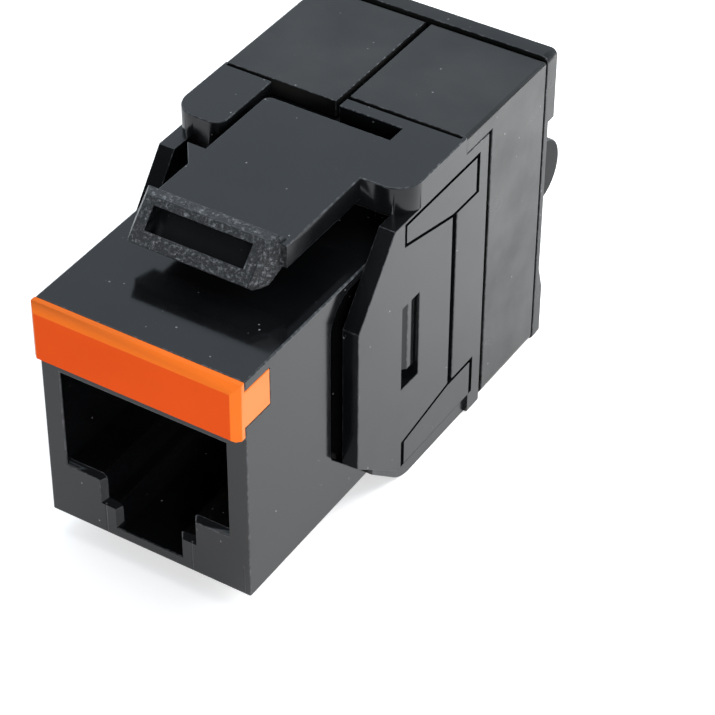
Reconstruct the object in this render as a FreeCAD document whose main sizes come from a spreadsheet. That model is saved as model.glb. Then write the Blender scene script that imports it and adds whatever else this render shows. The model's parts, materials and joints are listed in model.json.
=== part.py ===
import FreeCAD, Part
import Sketcher
import math
import os
import re

os.makedirs("parts", exist_ok=True)
doc = FreeCAD.newDocument("keystone_jack")
sheet = doc.addObject("Spreadsheet::Sheet", "sizes")

# Driving sizes in millimetres: X is across the jack, Y runs from its face to its back, Z is up
SIZES = [
    ("nose_half", 7.3, "half the width of the nose, which fills a wall plate's opening"),
    ("nose_high", 16.6, "height of the nose"),
    ("port_half", 5.9, "half the width of the plug opening"),
    ("port_top", 11.45, "ceiling of the plug opening at the face"),
    ("port_deep", 14.0, "depth of the plug opening"),
    ("shoulder_top", 4.5, "ledges that carry the plug's body"),
    ("shoulder_half", 3.15, "half the gap between those ledges"),
    ("step_top", 2.65, "lower steps beside the plug's latch"),
    ("step_half", 2.1, "half the gap between the lower steps"),
    ("slot_floor", 0.75, "floor under the plug's latch"),
    ("shoulder_bevel", 0.35, "bevel on the front edge of the ledges"),
    ("shoulder_round", 0.45, "rounding of the ledges' inner corners"),
    ("cavity_wall", 1.7, "wall beside the contact cavity over the port"),
    ("cavity_front", 3.2, "front end of the contact cavity"),
    ("cavity_roof", 1.2, "roof over the contact cavity"),
    ("chamber_wall", 1.3, "wall beside the rear chamber"),
    ("chamber_low", 0.8, "floor of the rear chamber"),
    ("chamber_roof", 1.0, "roof over the rear chamber"),
    ("recess_gap", 1.25, "room ahead of the snap plate in the nose's side"),
    ("recess_deep", 0.9, "depth of that recess"),
    ("recess_cover", 0.6, "wall above that recess"),
    ("recess_low", 0.9, "bottom of that recess"),
    ("recess_land", 0.3, "land between that recess and the plate's window"),
    ("recess_round", 2.4, "rounding of its upper front corner"),
    ("recess_low_round", 0.6, "rounding of its lower front corner"),
    ("hook_front", 6.2, "front of the fixed hook under the nose"),
    ("hook_long", 2.0, "length of that hook"),
    ("hook_drop", 1.3, "drop of that hook"),
    ("hook_half", 4.5, "half the width of that hook"),
    ("tooth_out", 0.85, "how far the snap tooth stands out of the nose's side"),
    ("tooth_flat", 0.75, "flat land on the snap tooth"),
    ("tooth_fit", 0.12, "gap between the snap tooth and its window"),
    ("frame_low", -2.1, "underside of the latch frame, on which the jack stands"),
    ("frame_back", 25.2, "back face of the latch frame"),
    ("back_wall", 1.5, "thickness of the latch frame's back wall"),
    ("floor_inset", 0.25, "step between the frame's side and its floor"),
    ("floor_set", 3.1, "step from the plates' front to the floor's"),
    ("floor_slope", 2.5, "length of the floor's slope"),
    ("floor_round", 3.0, "rounding under that slope"),
    ("skirt_long", 1.0, "length of the floor's upturned edges ahead of the slope"),
    ("skirt_high", 0.85, "height of those edges"),
    ("roof_over", 3.85, "height of the roof's top over the nose"),
    ("roof_thick", 2.1, "thickness of the roof and its ears"),
    ("ear_long", 4.25, "length of the two ears ahead of the slot"),
    ("ear_wide", 3.65, "width of the left ear"),
    ("ear_round", 1.7, "outer rounding of the ears"),
    ("ear_inner_round", 0.9, "inner rounding of the left ear"),
    ("side_slot", 0.6, "slot between the left ear and the latch tongue"),
    ("slot_wide", 1.45, "width of the slot behind the tongue"),
    ("slot_set", 3.8, "step from the frame's side to the right end of that slot"),
    ("tongue_set", 3.25, "step from the frame's side to the tongue's right edge"),
    ("tongue_reach", 7.9, "length of the tongue ahead of the ears"),
    ("tongue_thick", 1.6, "thickness of the latch tongue"),
    ("tongue_round", 0.5, "rounding of the tongue's rear left corner"),
    ("flare_set", 2.4, "step from the ears' front to the flare on the tongue's left"),
    ("flare_long", 1.8, "length of that flare"),
    ("flare_out", 1.3, "how far that flare stands out"),
    ("grip_reach", 2.6, "how far the grip reaches ahead of the tongue"),
    ("grip_fall", 1.75, "drop from the roof's top to the grip's foremost edge"),
    ("grip_rise", 2.1, "rise and depth of the grip's sloping face"),
    ("grip_strip", 0.75, "narrow strip along the top of the grip"),
    ("grip_heel", 0.35, "length of the fall behind that strip"),
    ("grip_half", 4.8, "half the width of the grip"),
    ("grip_bevel", 0.6, "bevel at both ends of its sloping face, measured across"),
    ("grip_bevel_long", 0.9, "the same bevel, measured along the ends"),
    ("grip_lip", 0.45, "thickness of the grip's lower lip"),
    ("pocket_half", 3.45, "half the width of the grip's finger pocket"),
    ("pocket_start", 0.65, "height of the pocket above the foremost edge"),
    ("pocket_rise", 1.1, "rise of the pocket on the sloping face"),
    ("pocket_deep", 0.75, "depth of the pocket along each axis"),
    ("rail_wide", 2.0, "width of the rails between the roof and the nose"),
    ("rail_set", 1.5, "step from the ears' front to those rails"),
    ("plate_thick", 1.15, "thickness of the snap plates on both sides"),
    ("plate_long", 15.0, "length of the snap plates"),
    ("plate_low_turn", 3.0, "where the snap plate starts to taper below"),
    ("plate_high_fall", 5.05, "drop from the plate's top to where it starts to taper above"),
    ("plate_high_slope", 4.0, "length of the taper above"),
    ("plate_low_slope", 4.6, "length of the taper below"),
    ("plate_lap", 0.2, "how far the snap plate laps the roof"),
    ("plate_low", -0.6, "bottom of the snap plate"),
    ("window_set", 5.0, "step from the plate's front to its window"),
    ("window_long", 2.0, "length of that window"),
    ("window_low", 5.75, "bottom of that window"),
    ("window_rise", 6.4, "height of that window"),
    ("slit_set", 3.15, "step from the slit that frees the snap plate to the tabs' back"),
    ("slit_wide", 0.5, "width of that slit"),
    ("tab_set", 5.1, "step from the plate's front to the flush tabs above and below the slit"),
    ("tab_end", 1.05, "step from the tabs' back to the frame's"),
    ("high_tab_cover", 0.15, "land above the upper tab"),
    ("high_tab_short", 1.7, "height of the upper tab at its front"),
    ("high_tab_tall", 3.0, "height of the upper tab at its back"),
    ("low_tab_short", 2.0, "height of the lower tab at its front"),
    ("low_tab_tall", 2.9, "height of the lower tab at its back"),
    ("tab_gap", 0.38, "width of the gap at the ends of the tabs"),
    ("groove_wide", 0.25, "width of the part lines along the tabs"),
    ("groove_deep", 0.4, "depth of those part lines"),
    ("floor_line_high", 0.45, "height of the part line between the lower tab and the floor"),
    ("door_gap", 0.3, "gap round the doors"),
    ("seat_gap", 0.08, "gap under the front edges of the doors' tops"),
    ("seam_web", 0.25, "side of the frame that closes the end of the seam ahead of the doors"),
    ("groove_gap", 0.35, "gap between the latch frame's back and the doors"),
    ("door_long", 6.7, "length of the doors' side walls"),
    ("door_wall", 1.2, "thickness of the doors, and radius of their hinge barrels"),
    ("seam_left", 0.3, "left edge of the seam between the doors"),
    ("seam_right", 0.15, "right edge of that seam"),
    ("left_lid_reach", 4.05, "how far the left door's top reaches over the frame"),
    ("right_lid_reach", 3.15, "how far the right door's top reaches over the frame"),
    ("door_round", 0.25, "rounding of the doors' upper and rear edges"),
    ("door_low_round", 0.8, "rounding of the doors' lower edge"),
    ("pin_radius", 0.6, "radius of the doors' hinge pins"),
    ("pin_long", 1.1, "length of each hinge pin"),
    ("pin_fit", 0.05, "running clearance of the hinge pins"),
    ("pin_end", 0.15, "room at the end of each hinge pin"),
    ("rib_gap", 1.1, "gap between the block's spine and the doors' wire combs"),
    ("rib_under", 0.6, "how far the wire combs hang below the towers"),
    ("rib_over", 1.3, "how far the wire combs rise above the towers"),
    ("rib_thick", 1.0, "thickness of the wire combs"),
    ("rib_set", 0.05, "step from the doors' front to their front combs"),
    ("wire_slot", 1.2, "width of the slots for the wires"),
    ("rib_slot_deep", 1.0, "depth of the slots in the doors' combs"),
    ("cap_gap", 0.2, "gap between the doors and the rear cap"),
    ("cap_thick", 1.25, "thickness of the rear cap"),
    ("cap_over", 0.15, "how far the rear cap stands above the doors"),
    ("cap_round", 0.5, "rounding of the cap's outer corners"),
    ("flange_thick", 0.45, "thickness of the cap's flange between its lugs"),
    ("lug_out", 1.25, "how far the cap's lugs stand out of its thick middle"),
    ("lug_bevel", 0.2, "bevel on the lower ends of the upper lugs"),
    ("high_lug_long", 5.3, "height of the cap's upper lugs"),
    ("low_lug_long", 5.8, "height of the cap's lower lugs"),
    ("low_lug_thick", 0.95, "thickness of the lower lugs"),
    ("low_lug_taper", 1.7, "length of the taper at the top of the lower lugs"),
    ("pad_high", 11.55, "height of the centre of the round finger pads"),
    ("pad_radius", 2.3, "radius of the finger pads"),
    ("pad_set", 0.3, "step from the cap's front to the centre of the pads"),
    ("pad_wide", 1.25, "width of the finger pads"),
    ("pad_inset", 0.2, "step between the finger pads and the cap's lugs"),
    ("cable_radius", 3.4, "radius of the cable entry"),
    ("cable_high", 9.2, "height of the cable entry's centre"),
    ("foot_gap", 0.45, "gap between the cap's shelf and the hinge barrels"),
    ("foot_thick", 1.5, "thickness of the shelf that carries the rear cap"),
    ("heel_inset", 0.4, "step from the shelf's side to the cap's heel on it"),
    ("heel_long", 2.2, "length of the cap's heel"),
    ("heel_high", 1.2, "height of the cap's heel"),
    ("clip_high", 4.05, "height of the colour clip"),
    ("clip_thick", 0.85, "thickness of the colour clip's face"),
    ("clip_bevel", 0.45, "bevel round the colour clip's face"),
    ("clip_low_bevel", 0.2, "bevel along the lower edge of that face"),
    ("arm_drop", 0.7, "drop from the nose's top to the clip's arms"),
    ("arm_wide", 2.6, "height of the clip's arms"),
    ("arm_long", 2.5, "length of the clip's arms"),
    ("arm_thick", 0.65, "thickness of the clip's arms"),
    ("arm_fit", 0.05, "gap between the clip's arms and their grooves"),
    ("contact_pitch", 1.02, "spacing of the port's contacts"),
    ("contact_strip", 0.35, "width and thickness of a contact"),
    ("contact_gap", 1.0, "room ahead of the contacts' bends in their cavity"),
    ("contact_drop", 4.4, "drop of the sprung part of a contact"),
    ("contact_clear", 1.0, "room behind the tips of the contacts"),
    ("comb_half", 4.4, "half the width of the contact comb's toothed block"),
    ("comb_shelf", 1.9, "thickness of the comb's shelf over the contacts"),
    ("comb_wall", 3.0, "thickness of the comb's wall behind the port"),
    ("comb_reach", 2.0, "length of the comb's teeth ahead of its wall"),
    ("comb_hang", 0.7, "how far the teeth hang below the tips of the contacts"),
    ("comb_slot", 0.56, "width of the slots between the comb's teeth"),
    ("comb_slot_high", 2.0, "height of those slots"),
    ("comb_slot_deep", 1.6, "depth of those slots"),
    ("comb_fit", 0.05, "gap between the comb's sides and the cavity"),
    ("board_thick", 1.4, "thickness of the circuit board"),
    ("board_fit", 0.2, "gap between the board's edges and the chamber"),
    ("contact_hole", 0.3, "radius of the board's holes for the contacts"),
    ("blade_hole", 0.45, "radius of the board's holes for the blades"),
    ("base_thick", 1.6, "thickness of the terminal block's base"),
    ("base_fit", 0.1, "gap between that base and the chamber"),
    ("spine_half", 4.1, "half the width of the terminal block's spine"),
    ("spine_gap", 0.4, "gap between the chamber's floor and the spine"),
    ("spine_short", 0.4, "step from the towers' top to the spine's"),
    ("spine_over", 0.5, "how far the spine reaches behind the towers"),
    ("throat_half", 3.0, "half the width of the room for the cable's end"),
    ("throat_low", 3.7, "bottom of that room"),
    ("throat_high", 13.3, "top of that room"),
    ("throat_deep", 4.6, "depth of that room"),
    ("tower_gap", 0.95, "gap between the terminal towers and the doors' walls"),
    ("tower_thick", 1.8, "thickness of the terminal towers"),
    ("tower_over", 0.2, "how far the towers rise above the highest blades"),
    ("blade_first", 2.4, "height of the lowest blades"),
    ("blade_pitch", 4.0, "spacing of the blades"),
    ("blade_half", 1.1, "half the height of a blade"),
    ("blade_thick", 0.4, "thickness of a blade"),
    ("blade_slot", 0.17, "half the width of a blade's slot"),
    ("blade_lead", 0.4, "half the width of its lead-in"),
    ("blade_slot_deep", 1.2, "depth of a blade's slot"),
    ("blade_inset", 0.1, "how far a blade stops short of its tower's face"),
    ("tail_half", 0.35, "half the height of a blade's tail"),
    ("tail_fit", 0.05, "gap round a blade in the terminal block"),
]
WORDS = [word for word, number, meaning in SIZES]
for row, (word, number, meaning) in enumerate(SIZES, start=1):
    sheet.set(f"A{row}", word)
    sheet.set(f"B{row}", str(number))
    sheet.setAlias(f"B{row}", word)
    sheet.set(f"C{row}", meaning)
doc.recompute()

# Places that follow from the driving sizes, so that the pieces keep together when one size changes
WORKED_OUT = {
    "cavity_half": "nose_half - cavity_wall",
    "cavity_top": "nose_high - cavity_roof",
    "chamber_half": "nose_half - chamber_wall",
    "chamber_high": "nose_high - chamber_roof",
    "frame_half": "nose_half + plate_thick",
    "floor_half": "frame_half - floor_inset",
    "roof_top": "nose_high + roof_over",
    "roof_low": "roof_top - roof_thick",
    "wall_front": "frame_back - back_wall",
    "door_front": "frame_back + groove_gap",
    "door_back": "door_front + door_long",
    "door_inner": "frame_half - door_wall",
    "lid_low": "roof_top - door_wall",
    "lid_seat": "lid_low - seat_gap",
    "left_lid_front": "door_front - left_lid_reach",
    "right_lid_front": "door_front - right_lid_reach",
    "slot_rear": "left_lid_front - door_gap",
    "slot_front": "slot_rear - slot_wide",
    "slot_end": "frame_half - slot_set",
    "ear_front": "slot_front - ear_long",
    "ear_inner": "frame_half - ear_wide",
    "tongue_left": "ear_inner - side_slot",
    "tongue_right": "frame_half - tongue_set",
    "tongue_front": "ear_front - tongue_reach",
    "tongue_low": "roof_top - tongue_thick",
    "flare_back": "ear_front - flare_set",
    "flare_front": "flare_back - flare_long",
    "flare_left": "tongue_left + flare_out",
    "grip_front": "tongue_front - grip_reach",
    "grip_low": "roof_top - grip_fall",
    "rail_inner": "nose_half - rail_wide",
    "rail_front": "ear_front + rail_set",
    "plate_front": "frame_back - plate_long",
    "plate_top": "roof_low + plate_lap",
    "plate_high_turn": "plate_top - plate_high_fall",
    "plate_top_front": "plate_front + plate_high_slope",
    "plate_bottom_front": "plate_front + plate_low_slope",
    "floor_front": "plate_front + floor_set",
    "window_front": "plate_front + window_set",
    "window_back": "window_front + window_long",
    "window_high": "window_low + window_rise",
    "recess_front": "plate_front - recess_gap",
    "recess_turn": "plate_low_turn + recess_gap",
    "recess_back": "window_front - recess_land",
    "recess_top": "nose_high - recess_cover",
    "recess_low_turn": "plate_bottom_front - recess_gap - recess_gap",
    "tab_front": "plate_front + tab_set",
    "tab_back": "frame_back - tab_end",
    "slit_front": "tab_back - slit_set",
    "high_tab_top": "plate_top - high_tab_cover",
    "high_tab_front": "high_tab_top - high_tab_short",
    "high_tab_low": "high_tab_top - high_tab_tall",
    "low_tab_front": "plate_low + low_tab_short",
    "low_tab_top": "plate_low + low_tab_tall",
    "hinge_high": "frame_low + door_wall",
    "shelf_top": "frame_low + foot_thick",
    "foot_half": "door_inner - door_wall - foot_gap",
    "heel_half": "foot_half - heel_inset",
    "cap_front": "door_back + cap_gap",
    "cap_back": "cap_front + cap_thick",
    "cap_top": "roof_top + cap_over",
    "cap_waist": "frame_half - lug_out",
    "high_lug_low": "cap_top - high_lug_long",
    "low_lug_high": "frame_low + low_lug_long",
    "clip_low": "nose_high - clip_high",
    "arm_high": "nose_high - arm_drop",
    "arm_low": "arm_high - arm_wide",
    "contact_front": "cavity_front + contact_gap",
    "contact_tip": "port_deep - contact_clear",
    "contact_run": "cavity_top - comb_shelf",
    "comb_front": "port_deep - comb_reach",
    "comb_low": "contact_run - contact_drop - comb_hang",
    "comb_slot_top": "comb_low + comb_slot_high",
    "board_front": "port_deep + comb_wall",
    "board_back": "board_front + board_thick",
    "base_back": "board_back + base_thick",
    "tower_front": "door_front + rib_set + rib_thick + door_gap",
    "tower_back": "tower_front + tower_thick",
    "tower_half": "door_inner - tower_gap",
    "tower_high": "blade_first + blade_pitch + blade_pitch + blade_pitch + blade_half + tower_over",
    "spine_low": "chamber_low + spine_gap",
    "spine_high": "tower_high - spine_short",
    "spine_back": "tower_back + spine_over",
    "throat_front": "spine_back - throat_deep",
    "rib_inner": "spine_half + rib_gap",
    "rib_low": "spine_low - rib_under",
    "rib_high": "tower_high + rib_over",
}

CONTACTS = 8
BLADES_A_SIDE = 4


def value(word):
    """One size in millimetres: from the sheet, or added up from the sizes that it follows."""
    if word not in WORKED_OUT:
        return float(sheet.get(word))
    total = 0.0
    sign = 1
    for item in WORKED_OUT[word].split():
        if item in ("+", "-"):
            sign = 1 if item == "+" else -1
        else:
            total += sign * value(item)
    return total


def formula(text):
    """The text with every size in it pointed at its cell, and the worked-out ones spelled out."""

    def cell(match):
        word = match.group(0)
        if word in WORKED_OUT:
            return f"({formula(WORKED_OUT[word])})"
        return f"sizes.{word}" if word in WORDS else word

    return re.sub(r"[a-z]+(?:_[a-z]+)*", cell, text)


def new_body(label):
    """An empty body for one piece of the jack."""
    body = doc.addObject("PartDesign::Body", label)
    body.Label = label
    return body


def origin_plane(body, role):
    """One of the body's own origin planes."""
    return next(item for item in body.Origin.OriginFeatures if item.Role == role)


def sketch_on(body, name, plane, level):
    """A sketch on one of the body's planes, moved to a level along that plane's axis."""
    sketch = body.newObject("Sketcher::SketchObject", name)
    sketch.AttachmentSupport = [(origin_plane(body, plane), "")]
    sketch.MapMode = "FlatFace"
    sign = "-" if plane == "XZ_Plane" else ""
    sketch.setExpression("AttachmentOffset.Base.z", formula(f"{sign}({level})"))
    return sketch


def hold(sketch, kind, point, text):
    """One coordinate of a sketch point, held by a formula."""
    index = sketch.addConstraint(Sketcher.Constraint(kind, -1, 1, point[0], point[1], 1.0))
    sketch.setExpression(f"Constraints[{index}]", formula(text))


def outline(sketch, corners):
    """A closed outline of straight lines whose corners are held by formulas."""
    count = len(corners)
    turns = [2 * math.pi * index / count for index in range(count)]
    rough = [FreeCAD.Vector(math.cos(turn), math.sin(turn), 0) for turn in turns]
    for index in range(count):
        line = Part.LineSegment(rough[index], rough[(index + 1) % count])
        sketch.addGeometry(line, False)
    for index in range(count):
        following = (index + 1) % count
        sketch.addConstraint(Sketcher.Constraint("Coincident", index, 2, following, 1))
    for index, (across, along) in enumerate(corners):
        hold(sketch, "DistanceX", (index, 1), across)
        hold(sketch, "DistanceY", (index, 1), along)


def between(body, name, sketch, plane, low, high, cut):
    """Material added or cut between two levels, inside a sketch that lies at the lower one."""
    kind = "PartDesign::Pocket" if cut else "PartDesign::Pad"
    feature = body.newObject(kind, name)
    feature.Profile = sketch
    feature.Reversed = (plane == "XZ_Plane") != cut
    feature.setExpression("Length", formula(f"({high}) - ({low})"))
    sketch.Visibility = False
    return feature


def prism(body, name, plane, low, high, corners, cut=False):
    """A straight-sided solid, or a cut of that form."""
    sketch = sketch_on(body, f"{name}_outline", plane, low)
    outline(sketch, corners)
    return between(body, name, sketch, plane, low, high, cut)


def disc(body, name, plane, low, high, centre, radius, cut=False):
    """A round solid, or a round hole."""
    sketch = sketch_on(body, f"{name}_outline", plane, low)
    circle = Part.Circle(FreeCAD.Vector(1, 1, 0), FreeCAD.Vector(0, 0, 1), 1)
    sketch.addGeometry(circle, False)
    hold(sketch, "DistanceX", (0, 3), centre[0])
    hold(sketch, "DistanceY", (0, 3), centre[1])
    index = sketch.addConstraint(Sketcher.Constraint("Radius", 0, 1.0))
    sketch.setExpression(f"Constraints[{index}]", formula(radius))
    return between(body, name, sketch, plane, low, high, cut)


def rectangle(left, right, low, high):
    """The four corners of a rectangle."""
    return [(left, low), (right, low), (right, high), (left, high)]


def mirror(body, name, features):
    """The same features on the other side of the jack's middle plane."""
    twin = body.newObject("PartDesign::Mirrored", name)
    twin.Originals = features
    twin.MirrorPlane = (origin_plane(body, "YZ_Plane"), [""])
    body.Tip = twin
    return twin


def row_of(body, name, features, axis, count, pitch):
    """Features repeated along one axis at an even pitch."""
    pattern = body.newObject("PartDesign::LinearPattern", name)
    pattern.Originals = features
    pattern.Direction = (origin_plane(body, axis), [""])
    pattern.Occurrences = count
    pattern.setExpression("Length", formula(f"{count - 1} * {pitch}"))
    body.Tip = pattern
    return pattern


def soften(body, kind, name, amount, test, *directions):
    """A fillet or chamfer on the straight edges along some directions that pass a test."""
    doc.recompute()
    base = body.Tip
    wanted = [FreeCAD.Vector(*direction).normalize() for direction in directions]
    names = []
    for index, edge in enumerate(base.Shape.Edges, start=1):
        if edge.Curve.TypeId != "Part::GeomLine":
            continue
        along = edge.tangentAt(edge.FirstParameter)
        if any(abs(along.dot(way)) > 0.9999 for way in wanted) and test(edge.CenterOfMass):
            names.append(f"Edge{index}")
    if not names:
        raise RuntimeError(f"{body.Label}: no edge found for {name}")
    feature = body.newObject(f"PartDesign::{kind}", name)
    feature.Base = (base, names)
    feature.setExpression("Radius" if kind == "Fillet" else "Size", formula(amount))
    return feature


def near(first, second):
    """Whether two lengths are the same for choosing an edge."""
    return abs(first - second) < 0.02


def jack_housing():
    """The nose with its plug opening, and the sleeve behind it that holds the works."""
    body = new_body("jack_housing")
    face = rectangle("-nose_half", "nose_half", "0", "nose_high")
    prism(body, "nose", "XZ_Plane", "0", "wall_front", face)
    port = [
        ("-port_half", "port_top"),
        ("-port_half", "shoulder_top"),
        ("-shoulder_half", "shoulder_top"),
        ("-shoulder_half", "step_top"),
        ("-step_half", "step_top"),
        ("-step_half", "slot_floor"),
        ("step_half", "slot_floor"),
        ("step_half", "step_top"),
        ("shoulder_half", "step_top"),
        ("shoulder_half", "shoulder_top"),
        ("port_half", "shoulder_top"),
        ("port_half", "port_top"),
    ]
    prism(body, "port", "XZ_Plane", "0", "port_deep", port, cut=True)
    cavity = rectangle("-cavity_half", "cavity_half", "port_top", "cavity_top")
    prism(body, "contact_cavity", "XZ_Plane", "cavity_front", "port_deep", cavity, cut=True)
    chamber = rectangle("-chamber_half", "chamber_half", "chamber_low", "chamber_high")
    prism(body, "chamber", "XZ_Plane", "port_deep", "wall_front", chamber, cut=True)
    recess = [
        ("recess_front", "recess_turn"),
        ("recess_front", "recess_top"),
        ("recess_back", "recess_top"),
        ("recess_back", "recess_low"),
        ("recess_low_turn", "recess_low"),
    ]
    side_recess = prism(
        body, "side_recess", "YZ_Plane", "nose_half - recess_deep", "nose_half", recess, cut=True
    )
    groove = rectangle("0", "arm_long + arm_fit", "arm_low - arm_fit", "arm_high + arm_fit")
    clip_groove = prism(
        body,
        "clip_groove",
        "YZ_Plane",
        "nose_half - arm_thick - arm_fit",
        "nose_half",
        groove,
        cut=True,
    )
    wedge = [
        ("nose_half - 0.3", "window_front + tooth_fit"),
        ("nose_half", "window_front + tooth_fit"),
        ("nose_half + tooth_out", "window_back - tooth_fit - tooth_flat"),
        ("nose_half + tooth_out", "window_back - tooth_fit"),
        ("nose_half - 0.3", "window_back - tooth_fit"),
    ]
    snap_tooth = prism(
        body,
        "snap_tooth",
        "XY_Plane",
        "window_low + tooth_fit + 0.7",
        "window_high - tooth_fit",
        wedge,
    )
    mirror(body, "other_side", [side_recess, clip_groove, snap_tooth])
    hook = [
        ("hook_front", "0.3"),
        ("hook_front", "0"),
        ("hook_front + hook_long / 2", "-hook_drop"),
        ("hook_front + hook_long", "-hook_drop"),
        ("hook_front + hook_long", "0.3"),
    ]
    prism(body, "fixed_hook", "YZ_Plane", "-hook_half", "hook_half", hook)
    for name, radius, height in (
        ("recess_corner", "recess_round", "recess_top"),
        ("recess_low_corner", "recess_low_round", "recess_turn"),
    ):
        corner = (value("recess_front"), value(height))
        soften(
            body,
            "Fillet",
            name,
            radius,
            lambda p: near(p.y, corner[0]) and near(p.z, corner[1]),
            (1, 0, 0),
        )
    ledges = [(value("shoulder_half"), value("shoulder_top"))]
    ledges.append((value("step_half"), value("step_top")))
    soften(
        body,
        "Fillet",
        "ledge_rounds",
        "shoulder_round",
        lambda p: any(near(abs(p.x), half) and near(p.z, top) for half, top in ledges),
        (0, 1, 0),
    )
    soften(
        body,
        "Chamfer",
        "ledge_bevels",
        "shoulder_bevel",
        lambda p: near(p.y, 0) and any(near(p.z, top) for half, top in ledges),
        (1, 0, 0),
    )
    return body


def tab_edge(front_level, back_level, across):
    """The outline of the part line along a tab's sloping edge, with its width to one side."""
    return [
        ("tab_front", front_level),
        ("slit_front", back_level),
        ("tab_back", back_level),
        ("tab_back", f"{back_level} {across}"),
        ("slit_front", f"{back_level} {across}"),
        ("tab_front", f"{front_level} {across}"),
    ]


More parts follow.
